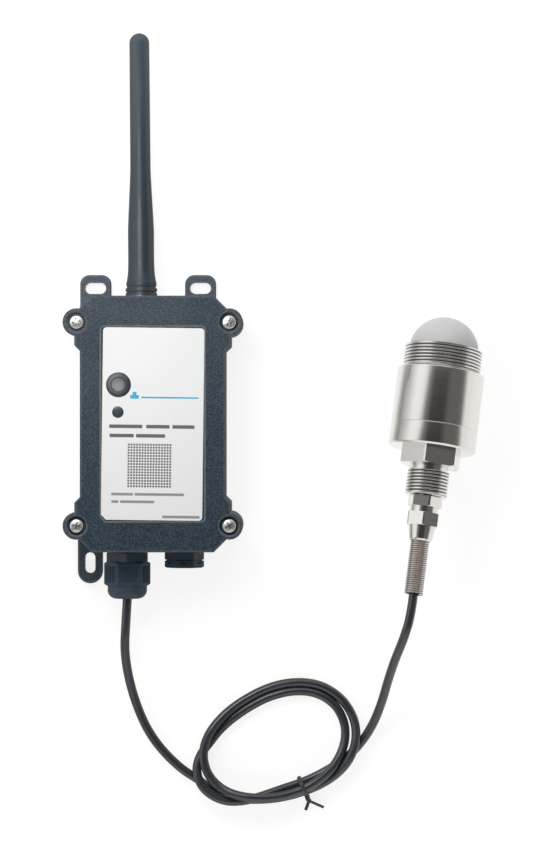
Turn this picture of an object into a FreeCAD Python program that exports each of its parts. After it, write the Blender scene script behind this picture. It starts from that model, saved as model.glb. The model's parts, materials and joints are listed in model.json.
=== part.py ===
import FreeCAD, Part
import math
import os

# Radar distance sensor: sealed case with a whip aerial, and a steel radar probe on a cable.
# Millimetres. The case lies on its back: +Z out of the lid, +Y along the aerial, origin on the back face.

# Case outline, seen from the front
SIDE_X = 33.1
SHOULDER_X = 35.6
SHOULDER_Y = 33.2
END_Y = 58.3
CORNER_X = 27.7
BOSS_X = 34.7
BOSS_Y = 46.3
BOSS_R = 6.25

# Case heights and walls
CASE_H = 26.0
BOX_H = 38.0
WALL = 2.5
BOSS_WALL = 0.25
EDGE_BEVEL = 0.6
GROOVE_IN = 0.6
GROOVE_OUT = 1.7
GROOVE_DEPTH = 1.2

# Mounting ears
EAR_T = 3.5
EAR_EDGE = 0.6
TOP_EARS_X = (-27.7, 21.0)
TOP_EAR_HALF = 7.2
TOP_EAR_END = 69.2
TOP_EAR_ROOT = 46.0
TOP_EAR_CORNER = 4.3
TOP_SLOT_Y = 63.0
TOP_SLOT_W = 5.1
SLOT_LENGTH = 9.6
LOWER_EAR_X = -30.2
LOWER_EAR_HALF = 5.8
LOWER_EAR_END = -74.0
LOWER_EAR_ROOT = -46.0
LOWER_SLOT_Y = -64.4
LOWER_SLOT_W = 4.7

# Lid screws, inserts and counterbores
COUNTERBORE_R = 4.6
COUNTERBORE_EDGE = 0.35
SEAT_DEPTH = 3.0
LID_HOLE_R = 1.7
SCREW_R = 1.5
SCREW_HEAD_R = 2.95
SCREW_HEAD_H = 2.0
SCREW_HEAD_EDGE = 0.5
SCREW_TIP_Z = 18.5
CROSS_LENGTH = 3.4
CROSS_WIDTH = 0.8
CROSS_DEPTH = 1.1
INSERT_R = 2.1
INSERT_BOTTOM = 18.0
PILOT_BOTTOM = 14.0

# Label, set slightly skew, button and light window
LABEL_X = 23.7
LABEL_Y = 44.4
LABEL_CORNER = 1.7
LABEL_CUT = 2.3
LABEL_GAP = 0.7
LABEL_SKEW = -0.7
LABEL_T = 0.25
RECESS_DEPTH = 0.5
BUTTON_X = -15.5
BUTTON_Y = 17.8
BUTTON_R = 3.3
BUTTON_FLAT_R = 2.5
BUTTON_TOP = 38.3
BUTTON_FLANGE_R = 4.6
BUTTON_FLANGE_T = 1.1
BUTTON_GAP = 0.3
BUTTON_REST_GAP = 0.2
COLLAR_R = 5.7
COLLAR_RIM_T = 0.2
COLLAR_CROWN_R = 4.0
COLLAR_CROWN_T = 0.7
WINDOW_X = -15.8
WINDOW_Y = 5.4
WINDOW_R = 2.65

# Main board, hung from four posts under the lid
BOARD_X = 26.5
BOARD_TOP_Y = 48.0
BOARD_BOTTOM_Y = -44.0
BOARD_Z = 29.6
BOARD_T = 1.6
BOARD_CORNER = 2.0
POST_X = 22.0
POSTS_Y = (-39.0, 43.0)
POST_R = 2.6
BOARD_SCREW_R = 1.0
BOARD_SCREW_HOLE_R = 1.15
BOARD_SCREW_HEAD_R = 1.9
BOARD_SCREW_HEAD_H = 1.2
BOARD_SCREW_LENGTH = 5.0
KEY_SIDE = 6.0
KEY_H = 1.4
KEY_STEM_R = 1.6
KEY_STEM_H = 0.6
LED_R = 1.5
LED_H = 1.6
RADIO_SIZE = (16.0, 22.0, 2.6)
RADIO_AT = (8.0, 28.0)
CHIP_SIZE = (8.0, 8.0, 1.0)
CHIP_AT = (8.0, -4.0)
TERMINAL_SIZE = (16.0, 8.0, 8.6)
TERMINAL_AT = (-12.5, -33.0)
TERMINAL_WAYS = 4
TERMINAL_PITCH = 3.8
TERMINAL_HOLE = 2.6
PLUG_SIZE = (7.6, 5.8, 6.0)
PLUG_AT = (-14.0, 30.0)

# Cell, capacitor and their cradle
CELL_R = 13.0
CELL_LENGTH = 50.0
CELL_X = 12.0
CELL_Z = 15.7
CELL_START_Y = -26.0
CELL_CAP_R = 4.0
CELL_CAP_H = 1.6
CAP_R = 7.5
CAP_LENGTH = 20.0
CAP_X = -14.0
CAP_Z = 10.2
CAP_START_Y = -10.0
CRADLE_W = 6.0
CRADLE_WALL = 1.6
CELL_CRADLE_TOP = 11.0
CAP_CRADLE_TOP = 7.5
CELL_CRADLES_Y = (-20.0, 12.0)
CAP_CRADLE_Y = -3.0

# Fittings in the end walls: all on one height
FITTING_Z = 15.0
AERIAL_X = -6.0
GLAND_X = -12.5
VENT_X = 13.8

# Aerial socket and washer
JACK_R = 3.2
JACK_CLEAR = 0.1
JACK_BACK_Y = 47.0
JACK_TIP_Y = 68.5
JACK_FLANGE_R = 4.6
JACK_FLANGE_T = 1.6
JACK_NUT_AF = 8.0
JACK_NUT_T = 2.0
WASHER_R = 6.9
WASHER_T = 0.7
PIGTAIL_R = 0.7
PIGTAIL_END_Y = 36.0

# Aerial: coupling with two grooves and the moulded whip, as (radius, distance along it), and its lean
COUPLING_RINGS = ((7.3, 60.3), (6.85, 61.0), (7.3, 62.5), (6.7, 63.5), (7.0, 64.6))
COUPLING_NUT_R = 4.8
COUPLING_NUT_ROOM = 61.3
WHIP_START_Y = 64.67
WHIP_SOCKET_Y = 69.0
WHIP_FLARE = ((6.95, WHIP_START_Y), (6.6, 66.4), (6.3, 68.6), (6.1, 71.0), (6.0, 75.0))
WHIP_TAPER = ((6.0, 89.5), (5.8, 94.5), (4.9, 112.0), (4.7, 117.0))
WHIP_TIP_R = 4.6
WHIP_END_Y = 180.0
WHIP_LEAN = 0.5

# Cable gland in the lower end wall, as distances from the middle of the case
CABLE_R = 2.1
GLAND_THREAD_R = 7.9
GLAND_CLEAR = 0.1
GLAND_BORE_R = 4.6
GLAND_AF = 18.6
GLAND_BODY_SPIN = 90.0
GLAND_CAP_SPIN = 112.0
GLAND_INNER = 47.5
GLAND_GASKET_R = 9.1
GLAND_GASKET_T = 0.9
GLAND_HEX_END = 63.3
GLAND_THREAD_END = 69.5
CAP_START = 63.5
CAP_HEX_END = 74.6
CAP_CHAMFER = 1.7
CAP_TOP_CHAMFER = 0.9
CAP_DOME_R = 9.1
CAP_END = 80.4
CAP_ROUND = 4.0
CAP_HOLLOW_END = 77.6
CAP_HOLLOW_R = 7.0
CAP_EXIT_R = 2.4
CAP_RIBS = 7
CAP_RIB_PITCH = 1.15
CAP_RIB_DEPTH = 0.35
CAP_RIB_WIDTH = 0.55
SEAL_START = 62.0
SEAL_SHOULDER_R = 6.6
SEAL_SHOULDER_END = 72.5
SEAL_TIP_R = 4.0
SEAL_END = 76.5
LOCK_NUT_AF = 20.0
LOCK_NUT_T = 4.5

# Vent plug beside the gland
VENT_THREAD_R = 5.9
VENT_BORE_R = 3.0
VENT_AF = 15.7
VENT_SPIN = 60.0
VENT_INNER = 49.0
VENT_GASKET_R = 7.6
VENT_GASKET_T = 0.8
VENT_HEX_END = 62.4
VENT_NECK_R = 7.1
VENT_CAP_START = 62.9
VENT_SPIGOT_R = 5.4
VENT_SPIGOT_END = 64.6
VENT_MEMBRANE_T = 0.3
VENT_CAP_END = 66.1
VENT_CAP_CHAMFER = 0.8
VENT_CAP_EDGE = 0.3
VENT_WINDOW_W = 3.4
VENT_WINDOW_H = 0.8
VENT_NUT_AF = 16.0
VENT_NUT_T = 4.0

# Radar probe: front shoulder of the shell, lean in the plane of the table, and rise of the tail
PROBE_AT = FreeCAD.Vector(131.8, 23.5, 19.7)
PROBE_YAW = 7.5
PROBE_RISE = 8.5

# Probe sections, as distances from the front shoulder towards the tail
LENS_R = 16.0
LENS_CENTRE = -9.8
LENS_SEAT_R = 16.1
LENS_BACK = -3.0
LENS_DISH_R = 11.0
LENS_DISH_DEPTH = 2.5
FRONT_THREAD_R = 17.9
FRONT_THREAD_START = -11.5
FRONT_THREAD_END = -1.6
FRONT_RELIEF_R = 16.9
THREAD_LEAD_IN = 0.7
SHELL_R = 20.0
SHELL_EDGE = 1.0
SHELL_BORE_R = 17.4
SHELL_LIP_R = 13.5
SHELL_LIP_HALF = 1.5
SEAM = 25.9
SEAM_EDGE = 0.3
LENS_RING_R = 0.75
LENS_RING_MEAN_R = 15.0
HORN_THROAT_R = 3.2
HORN_MOUTH_R = 12.4
HORN_WALL = 1.2
HORN_FLANGE_R = 15.5
RADAR_BOARD = 13.8
RADAR_BOARD_R = 17.0
RADAR_BOARD_T = 1.6
RADAR_CHIP = (4.0, 4.0, 0.9)
SPACER_INNER_R = 15.0
SPIGOT_START = 19.8
SPIGOT_GROOVE = 22.2
SPIGOT_RING_R = 0.7
CAP_CAVITY_R = 14.0
CAP_CAVITY_END = 28.0
REAR_FACE = 36.0
REAR_EDGE = 0.8
PROBE_HEX_AF = 25.0
PROBE_HEX_END = 43.7
PROBE_HEX_EDGE = 0.8
PROBE_HEX_SPIN = 100.0
REAR_NECK_R = 8.7
REAR_NECK_END = 45.8
REAR_THREAD_R = 9.75
REAR_THREAD_END = 57.7
PROBE_BORE_R = 2.5
SOCKET_R = 4.2
SOCKET_START = 49.0
SMALL_HEX_AF = 14.0
SMALL_HEX_START = 58.1
SMALL_HEX_END = 62.8
SMALL_HEX_SPIN = 136.0
SMALL_HEX_EDGE = 0.5
SMALL_NECK_R = 6.6
SMALL_NECK_END = 65.5
SMALL_THREAD_R = 5.4
SMALL_THREAD_END = 70.4
SMALL_SEAL_R = 4.4
SMALL_SEAL_START = 66.4
SMALL_SEAL_END = 71.9
SMALL_NUT_SPIN = 92.0
SMALL_NUT_HEX_END = 71.6
SMALL_CONE_R = 6.8
SMALL_CONE_END = 77.6
SMALL_CONE_END_R = 5.8
SMALL_NUT_END = 78.4
SMALL_NUT_END_R = 4.9
SPRING_R = 4.4
SPRING_BORE_R = 3.0
SPRING_START = 73.9
SPRING_END = 103.4
PROBE_TAIL_START = 26.0

# Cable route outside, point by point, and the loose coil that it runs through
LEAD_IN = (
    (GLAND_X, -CAP_END, FITTING_Z),
    (GLAND_X, -92.0, FITTING_Z),
    (-13.6, -104.6, 11.8),
    (-12.0, -117.8, 7.6),
    (-8.6, -130.8, 4.3),
    (-3.2, -143.0, 2.8),
    (4.0, -152.6, 2.3),
    (12.4, -160.7, 2.2),
    (20.3, -165.8, 2.2),
)
LEAD_OUT_STRAIGHT = 10.0
LEAD_OUT = (
    (113.9, -98.2, 34.0),
    (110.3, -107.9, 27.0),
    (107.6, -117.6, 17.8),
    (105.0, -128.8, 9.0),
    (100.6, -140.6, 3.6),
    (93.6, -150.6, 2.2),
)
ARC_SHARE = 0.45
COIL_X = 55.9
COIL_Y = -148.9
COIL_LONG = 35.8
COIL_SHORT = 23.7
COIL_TURN = 23.0
COIL_HALF_W = 4.2
COIL_BOTTOM = 0.6
COIL_TOP = 9.0
COIL_ROUND = 3.0

# Twist tie round the coil
TIE_X = 69.0
TIE_Y = -168.9
TIE_TURN = 26.0
TIE_HALF_W = 5.0
TIE_TOP = 9.6
TIE_CORNER = 3.4
TIE_T = 0.5
TIE_STRAP = 1.8
TIE_TWIST_R = 1.5
TIE_TWIST_AT = (71.2, -174.2, 3.0)
TIE_TAIL_R = 0.8
TIE_TAILS = ((70.2, -179.6, 1.2), (78.4, -177.6, 1.2))

# Height of a nut's turned cone against its width, and the room for picking faces and edges
NUT_CONE = 0.6
NEAR = 0.01

V = FreeCAD.Vector
UP = V(0, 0, 1)
ALONG_Y = V(0, 1, 0)
AGAINST_Y = V(0, -1, 0)
os.makedirs("parts", exist_ok=True)


def write(name, *solids):
    """Writes one piece, or one group of like pieces, to its own file."""
    shape = solids[0] if len(solids) == 1 else Part.makeCompound(list(solids))
    shape.exportStep("parts/" + name + ".step")


def joined(shapes):
    """Returns the shapes as one solid, without seams in flat or round faces."""
    return shapes[0].multiFuse(list(shapes[1:])).removeSplitter()


def prism(points, bottom, top):
    """Returns the upright solid over a flat outline of (x, y) corners."""
    corners = [V(x, y, bottom) for x, y in points]
    return Part.Face(Part.makePolygon(corners + corners[:1])).extrude(V(0, 0, top - bottom))


def post(x, y, radius, bottom, top):
    """Returns an upright round post."""
    return Part.makeCylinder(radius, top - bottom, V(x, y, bottom))


def block(centre, size, bottom):
    """Returns a box of (x, y, z) size, centred on (x, y) and standing on a height."""
    corner = V(centre[0] - size[0] / 2, centre[1] - size[1] / 2, bottom)
    return Part.makeBox(size[0], size[1], size[2], corner)


def upright_edges(shape):
    """Returns the shape's straight edges that run along Z."""
    edges = [edge for edge in shape.Edges if edge.Curve.TypeId == "Part::GeomLine"]
    return [edge for edge in edges if abs(edge.tangentAt(edge.FirstParameter).z) > 1 - NEAR]


def rounded_plate(x0, x1, y0, y1, radius, bottom, top):
    """Returns an upright plate with four rounded corners."""
    plate = Part.makeBox(x1 - x0, y1 - y0, top - bottom, V(x0, y0, bottom))
    return plate.makeFillet(radius, upright_edges(plate))


def slot(x, y, length, width, along_x, bottom, top):
    """Returns the solid of a round-ended slot, for cutting."""
    reach = (length - width) / 2
    step = V(reach, 0, 0) if along_x else V(0, reach, 0)
    size = (length - width, width) if along_x else (width, length - width)
    middle = block((x, y), (size[0], size[1], top - bottom), bottom)
    ends = [post(x + side * step.x, y + side * step.y, width / 2, bottom, top) for side in (-1, 1)]
    return joined([middle] + ends)


def placed(shape, base, axis):
    """Returns the shape with its Z axis laid along another axis from a base point."""
    shape.Placement = FreeCAD.Placement(base, FreeCAD.Rotation(UP, axis))
    return shape


def turned(profile):
    """Returns the solid of a closed (radius, height) profile turned round Z."""
    points = [V(radius, 0, height) for radius, height in profile]
    return Part.Face(Part.makePolygon(points + points[:1])).revolve(V(), UP, 360)


def tube(outer, inner, start, end):
    """Returns a round sleeve along Z."""
    return turned([(inner, start), (outer, start), (outer, end), (inner, end)])


def hexagon(flats, start, end, spin):
    """Returns a hexagonal bar along Z with one corner at the spin angle."""
    radius = flats / math.sqrt(3)
    angles = [math.radians(spin + 60 * side) for side in range(6)]
    return prism([(radius * math.cos(a), radius * math.sin(a)) for a in angles], start, end)


def hexagon_nut(flats, start, end, spin, start_edge, end_edge):
    """Returns a hexagonal bar whose end corners are turned off to a cone."""
    corner = flats / math.sqrt(3)
    profile = [(0, start), (corner - start_edge, start), (corner, start + start_edge * NUT_CONE)]
    profile += [(corner, end - end_edge * NUT_CONE), (corner - end_edge, end), (0, end)]
    return hexagon(flats, start, end, spin).common(turned(profile))


def arc_route(points):
    """Returns straight runs joined by tangent arcs as one wire, and the arcs' radii."""
    corners = [V(*point) for point in points]
    edges = []
    radii = []
    start = corners[0]
    for before, corner, after in zip(corners, corners[1:], corners[2:]):
        back = (before - corner).normalize()
        ahead = (after - corner).normalize()
        half_turn = (math.pi - back.getAngle(ahead)) / 2
        trim = ARC_SHARE * min(before.distanceToPoint(corner), after.distanceToPoint(corner))
        radius = trim / math.tan(half_turn)
        inward = (back + ahead).normalize()
        middle = corner + inward * (radius / math.cos(half_turn) - radius)
        entry = corner + back * trim
        leave = corner + ahead * trim
        edges.append(Part.LineSegment(start, entry).toShape())
        edges.append(Part.Arc(entry, middle, leave).toShape())
        radii.append(radius)
        start = leave
    edges.append(Part.LineSegment(start, corners[-1]).toShape())
    return Part.Wire(edges), radii


def round_cord(name, points, radius):
    """Returns a round cord along a route, and prints its bends and its volume against its length."""
    wire, radii = arc_route(points)
    start = V(*points[0])
    section = Part.Wire(Part.makeCircle(radius, start, V(*points[1]) - start))
    cord = wire.makePipeShell([section], True, False)
    share = cord.Volume / (math.pi * radius ** 2 * wire.Length)
    bends = " ".join("%.0f" % bend for bend in radii)
    print("%s: length %.1f, bend radii %s, volume share %.3f" % (name, wire.Length, bends, share))
    return cord


def bevelled_top(shape, size):
    """Returns the shape with all edges of its top face bevelled."""
    top = shape.BoundBox.ZMax
    return shape.makeChamfer(size, [edge for edge in shape.Edges if edge.BoundBox.ZMin > top - NEAR])


def four_corners(x, y):
    """Returns the four points that mirror (x, y) in both axes."""
    return [(sx * x, sy * y) for sx in (-1, 1) for sy in (-1, 1)]


def mirrored_outline(quarter):
    """Returns a closed outline from the corners of its upper right quarter, listed upwards."""
    upper = quarter + [(-x, y) for x, y in reversed(quarter)]
    lower = [(-x, -y) for x, y in quarter] + [(x, -y) for x, y in reversed(quarter)]
    return upper + lower


# Shell of the case: stepped sides, bevelled corners and four round bosses
corner_sum = CORNER_X + END_Y
outer_quarter = [
    (SIDE_X, SHOULDER_Y),
    (SHOULDER_X, SHOULDER_Y + SHOULDER_X - SIDE_X),
    (SHOULDER_X, corner_sum - SHOULDER_X),
    (CORNER_X, END_Y),
]
inner_x = SIDE_X - WALL
inner_y = END_Y - WALL
inner_sum = corner_sum - WALL * math.sqrt(2)
inner_quarter = [(inner_x, inner_sum - inner_x), (inner_sum - inner_y, inner_y)]
bosses = four_corners(BOSS_X, BOSS_Y)


def outer_shell(bottom, top):
    """Returns the filled outer form of the case between two heights."""
    rounds = [post(x, y, BOSS_R, bottom, top) for x, y in bosses]
    return joined([prism(mirrored_outline(outer_quarter), bottom, top)] + rounds)


def hollow(bottom, top):
    """Returns the room inside the walls, which goes round the bosses."""
    room = prism(mirrored_outline(inner_quarter), bottom, top)
    return room.cut([post(x, y, BOSS_R + BOSS_WALL, bottom, top) for x, y in bosses])


def gasket_groove(bottom, top):
    """Returns the ring that follows the inside of the wall, in the rim of the case."""
    floor = [face for face in hollow(bottom, top).Faces if face.CenterOfMass.z < bottom + NEAR][0]
    wide = floor.makeOffset2D(GROOVE_OUT)
    narrow = floor.makeOffset2D(GROOVE_IN)
    return wide.extrude(V(0, 0, top - bottom)).cut(narrow.extrude(V(0, 0, top - bottom)))


def fitting(shape, x, axis):
    """Returns a fitting of an end wall on its own axis."""
    return placed(shape, V(x, 0, FITTING_Z), axis)


# Rear case
ears = []
for x in TOP_EARS_X:
    ears.append(rounded_plate(x - TOP_EAR_HALF, x + TOP_EAR_HALF, TOP_EAR_ROOT, TOP_EAR_END,
                              TOP_EAR_CORNER, 0, EAR_T))
lower_round_y = LOWER_EAR_END + LOWER_EAR_HALF
lower_size = (2 * LOWER_EAR_HALF, LOWER_EAR_ROOT - lower_round_y, EAR_T)
lower_root = block((LOWER_EAR_X, (LOWER_EAR_ROOT + lower_round_y) / 2), lower_size, 0)
ears.append(joined([lower_root, post(LOWER_EAR_X, lower_round_y, LOWER_EAR_HALF, 0, EAR_T)]))
rear_case = joined([outer_shell(0, CASE_H)] + [bevelled_top(ear, EAR_EDGE) for ear in ears])
cuts = [hollow(WALL, CASE_H), gasket_groove(CASE_H - GROOVE_DEPTH, CASE_H)]
cuts += [slot(x, TOP_SLOT_Y, SLOT_LENGTH, TOP_SLOT_W, True, 0, EAR_T) for x in TOP_EARS_X]
cuts.append(slot(LOWER_EAR_X, LOWER_SLOT_Y, SLOT_LENGTH, LOWER_SLOT_W, False, 0, EAR_T))
for x, y in bosses:
    cuts.append(post(x, y, INSERT_R, INSERT_BOTTOM, CASE_H))
    cuts.append(post(x, y, SCREW_R, PILOT_BOTTOM, CASE_H))
cuts.append(fitting(Part.makeCylinder(JACK_R + JACK_CLEAR, END_Y + WALL), AERIAL_X, ALONG_Y))
cuts.append(fitting(Part.makeCylinder(GLAND_THREAD_R + GLAND_CLEAR, END_Y + WALL), GLAND_X, AGAINST_Y))
cuts.append(fitting(Part.makeCylinder(VENT_THREAD_R + GLAND_CLEAR, END_Y + WALL), VENT_X, AGAINST_Y))
write("rear_case", rear_case.cut(cuts))
write("lid_gasket", gasket_groove(CASE_H - GROOVE_DEPTH, CASE_H))

# Front lid: bevelled rim, label recess, stepped counterbores and posts for the board
lid_under = BOX_H - WALL
recess_z = BOX_H - RECESS_DEPTH
seat_z = BOX_H - SEAT_DEPTH
mouth_r = COUNTERBORE_R + COUNTERBORE_EDGE
lid = bevelled_top(outer_shell(CASE_H, BOX_H), EDGE_BEVEL)
lid = lid.cut(hollow(CASE_H, lid_under))
posts = [post(x, y, POST_R, BOARD_Z + BOARD_T, lid_under) for x in (-POST_X, POST_X) for y in POSTS_Y]
lid = joined([lid] + posts)


def label_outline(inset, bottom, top):
    """Returns the label's plate: three round corners and one cut corner."""
    x = LABEL_X - inset
    y = LABEL_Y - inset
    plate = Part.makeBox(2 * x, 2 * y, top - bottom, V(-x, -y, bottom))
    edges = upright_edges(plate)
    lower_left = [edge for edge in edges if edge.CenterOfMass.x < 0 and edge.CenterOfMass.y < 0]
    plate = plate.makeChamfer(LABEL_CUT, lower_left)
    middles = [(edge, edge.CenterOfMass) for edge in upright_edges(plate)]
    square = [edge for edge, middle in middles if abs(middle.x * middle.y) > x * y - NEAR]
    return plate.makeFillet(LABEL_CORNER, square)


cuts = [label_outline(0, recess_z, BOX_H)]
for x, y in bosses:
    steps = [(0, CASE_H), (LID_HOLE_R, CASE_H), (LID_HOLE_R, seat_z), (COUNTERBORE_R, seat_z)]
    steps += [(COUNTERBORE_R, BOX_H - COUNTERBORE_EDGE), (mouth_r, BOX_H), (0, BOX_H)]
    cuts.append(placed(turned(steps), V(x, y, 0), UP))
for x in (-POST_X, POST_X):
    for y in POSTS_Y:
        cuts.append(post(x, y, BOARD_SCREW_R, BOARD_Z + BOARD_T, lid_under))
cuts.append(post(BUTTON_X, BUTTON_Y, BUTTON_R + BUTTON_GAP, lid_under, BOX_H))
cuts.append(post(WINDOW_X, WINDOW_Y, WINDOW_R, lid_under, BOX_H))
write("front_lid", lid.cut(cuts))

# Lid screws with a crossed recess, and the inserts that take them
cross_bottom = seat_z + SCREW_HEAD_H - CROSS_DEPTH
screws = []
inserts = []
for x, y in bosses:
    head = [(0, SCREW_TIP_Z), (SCREW_R, SCREW_TIP_Z), (SCREW_R, seat_z), (SCREW_HEAD_R, seat_z)]
    head += [(SCREW_HEAD_R, seat_z + SCREW_HEAD_H - SCREW_HEAD_EDGE)]
    head += [(SCREW_HEAD_R - SCREW_HEAD_EDGE, seat_z + SCREW_HEAD_H), (0, seat_z + SCREW_HEAD_H)]
    screw = placed(turned(head), V(x, y, 0), UP)
    bars = ((CROSS_LENGTH, CROSS_WIDTH, CROSS_DEPTH), (CROSS_WIDTH, CROSS_LENGTH, CROSS_DEPTH))
    screws.append(screw.cut([block((x, y), bar, cross_bottom) for bar in bars]))
    inserts.append(placed(tube(INSERT_R, SCREW_R, INSERT_BOTTOM, CASE_H), V(x, y, 0), UP))
write("lid_screws", *screws)
write("boss_inserts", *inserts)

# Label, light window, button and the collar round the button
label = label_outline(LABEL_GAP, recess_z, recess_z + LABEL_T)
label.rotate(V(), UP, LABEL_SKEW)
label_holes = [post(BUTTON_X, BUTTON_Y, COLLAR_R, recess_z, BOX_H)]
label_holes.append(post(WINDOW_X, WINDOW_Y, WINDOW_R, recess_z, BOX_H))
write("front_label", label.cut(label_holes))
write("led_window", post(WINDOW_X, WINDOW_Y, WINDOW_R, lid_under, recess_z + LABEL_T))
collar_bore = BUTTON_R + BUTTON_GAP
collar_top = recess_z + COLLAR_CROWN_T
collar = [(collar_bore, recess_z), (COLLAR_R, recess_z), (COLLAR_R, recess_z + COLLAR_RIM_T)]
collar += [(COLLAR_CROWN_R, collar_top), (collar_bore, collar_top)]
write("button_collar", placed(turned(collar), V(BUTTON_X, BUTTON_Y, 0), UP))
flange_top = lid_under - BUTTON_REST_GAP
button_foot = flange_top - BUTTON_FLANGE_T
button = [(0, button_foot), (BUTTON_FLANGE_R, button_foot), (BUTTON_FLANGE_R, flange_top)]
button += [(BUTTON_R, flange_top), (BUTTON_R, BUTTON_TOP - BUTTON_R + BUTTON_FLAT_R)]
button += [(BUTTON_FLAT_R, BUTTON_TOP), (0, BUTTON_TOP)]
write("push_button", placed(turned(button), V(BUTTON_X, BUTTON_Y, 0), UP))

# Main board and what sits on it
board_top = BOARD_Z + BOARD_T
posts_at = [(x, y) for x in (-POST_X, POST_X) for y in POSTS_Y]
board = rounded_plate(-BOARD_X, BOARD_X, BOARD_BOTTOM_Y, BOARD_TOP_Y, BOARD_CORNER, BOARD_Z, board_top)
write("main_board", board.cut([post(x, y, BOARD_SCREW_HOLE_R, BOARD_Z, board_top) for x, y in posts_at]))
board_screws = []
for x, y in posts_at:
    head = post(x, y, BOARD_SCREW_HEAD_R, BOARD_Z - BOARD_SCREW_HEAD_H, BOARD_Z)
    shank = post(x, y, BOARD_SCREW_R, BOARD_Z, BOARD_Z + BOARD_SCREW_LENGTH)
    board_screws.append(joined([head, shank]))
write("board_screws", *board_screws)
key_top = board_top + KEY_H
key = block((BUTTON_X, BUTTON_Y), (KEY_SIDE, KEY_SIDE, KEY_H), board_top)
write("tact_switch", joined([key, post(BUTTON_X, BUTTON_Y, KEY_STEM_R, key_top, key_top + KEY_STEM_H)]))
led_dome = Part.makeSphere(LED_R, V(WINDOW_X, WINDOW_Y, board_top + LED_H))
write("status_led", joined([post(WINDOW_X, WINDOW_Y, LED_R, board_top, board_top + LED_H), led_dome]))
write("radio_module", block(RADIO_AT, RADIO_SIZE, board_top))
write("controller_chip", block(CHIP_AT, CHIP_SIZE, board_top))
terminal = block(TERMINAL_AT, TERMINAL_SIZE, BOARD_Z - TERMINAL_SIZE[2])
terminal_face = TERMINAL_AT[1] - TERMINAL_SIZE[1] / 2
mouths = []
for way in range(TERMINAL_WAYS):
    x = TERMINAL_AT[0] + (way - (TERMINAL_WAYS - 1) / 2) * TERMINAL_PITCH
    mouth = (TERMINAL_HOLE, TERMINAL_SIZE[1], TERMINAL_HOLE)
    mouths.append(block((x, terminal_face), mouth, BOARD_Z - TERMINAL_SIZE[2] + TERMINAL_HOLE / 2))
write("terminal_block", terminal.cut(mouths))
write("battery_plug", block(PLUG_AT, PLUG_SIZE, BOARD_Z - PLUG_SIZE[2]))

# Cell and capacitor, lying in saddles on the floor of the case
cell = [(0, 0), (CELL_R, 0), (CELL_R, CELL_LENGTH), (CELL_CAP_R, CELL_LENGTH)]
cell += [(CELL_CAP_R, CELL_LENGTH + CELL_CAP_H), (0, CELL_LENGTH + CELL_CAP_H)]
write("battery_cell", placed(turned(cell), V(CELL_X, CELL_START_Y, CELL_Z), ALONG_Y))
capacitor = Part.makeCylinder(CAP_R, CAP_LENGTH)
write("buffer_capacitor", placed(capacitor, V(CAP_X, CAP_START_Y, CAP_Z), ALONG_Y))


def saddle(x, y, z, radius, top):
    """Returns a block on the floor of the case with a round bed cut in it."""
    size = (2 * (radius + CRADLE_WALL), CRADLE_W, top - WALL)
    bed = placed(Part.makeCylinder(radius, CRADLE_W), V(x, y - CRADLE_W / 2, z), ALONG_Y)
    return block((x, y), size, WALL).cut(bed)


saddles = [saddle(CELL_X, y, CELL_Z, CELL_R, CELL_CRADLE_TOP) for y in CELL_CRADLES_Y]
saddles.append(saddle(CAP_X, CAP_CRADLE_Y, CAP_Z, CAP_R, CAP_CRADLE_TOP))
write("battery_cradle", *saddles)

# Aerial socket through the upper wall, its washer and nut, and the lead to the board
jack = [(0, JACK_BACK_Y), (JACK_R, JACK_BACK_Y), (JACK_R, inner_y - JACK_FLANGE_T)]
jack += [(JACK_FLANGE_R, inner_y - JACK_FLANGE_T), (JACK_FLANGE_R, inner_y), (JACK_R, inner_y)]
jack += [(JACK_R, JACK_TIP_Y), (0, JACK_TIP_Y)]
write("antenna_jack", fitting(turned(jack), AERIAL_X, ALONG_Y))
washer_top = END_Y + WASHER_T
write("antenna_washer", fitting(tube(WASHER_R, JACK_R, END_Y, washer_top), AERIAL_X, ALONG_Y))
jack_nut = hexagon(JACK_NUT_AF, washer_top, washer_top + JACK_NUT_T, 0)
jack_nut = jack_nut.cut(tube(JACK_R, 0, washer_top, washer_top + JACK_NUT_T))
write("antenna_jack_nut", fitting(jack_nut, AERIAL_X, ALONG_Y))
pigtail_start = (AERIAL_X, JACK_BACK_Y, FITTING_Z)
pigtail_turn = (AERIAL_X, PIGTAIL_END_Y, FITTING_Z)
pigtail_board = (AERIAL_X, PIGTAIL_END_Y, BOARD_Z)
write("antenna_pigtail", round_cord("pigtail", (pigtail_start, pigtail_turn, pigtail_board), PIGTAIL_R))

# Aerial: grooved coupling, then the whip with its flared foot, long taper and round tip
coupling_start = washer_top
coupling = [(COUPLING_NUT_R, coupling_start)]
step_y = coupling_start
for radius, end in COUPLING_RINGS:
    coupling += [(radius, step_y), (radius, end)]
    step_y = end
coupling += [(JACK_R, step_y), (JACK_R, COUPLING_NUT_ROOM), (COUPLING_NUT_R, COUPLING_NUT_ROOM)]
write("antenna_coupling", fitting(turned(coupling), AERIAL_X, ALONG_Y))
tip_y = WHIP_END_Y - WHIP_TIP_R
whip_bore = JACK_R + JACK_CLEAR
whip = [(0, WHIP_SOCKET_Y), (whip_bore, WHIP_SOCKET_Y), (whip_bore, WHIP_START_Y)]
whip += list(WHIP_FLARE) + list(WHIP_TAPER) + [(WHIP_TIP_R, tip_y), (0, tip_y)]
whip_tip = Part.makeSphere(WHIP_TIP_R, V(0, 0, tip_y))
whip = fitting(joined([turned(whip), whip_tip]), AERIAL_X, ALONG_Y)
whip.rotate(V(AERIAL_X, WHIP_START_Y, FITTING_Z), UP, WHIP_LEAN)
write("antenna_whip", whip)

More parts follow.
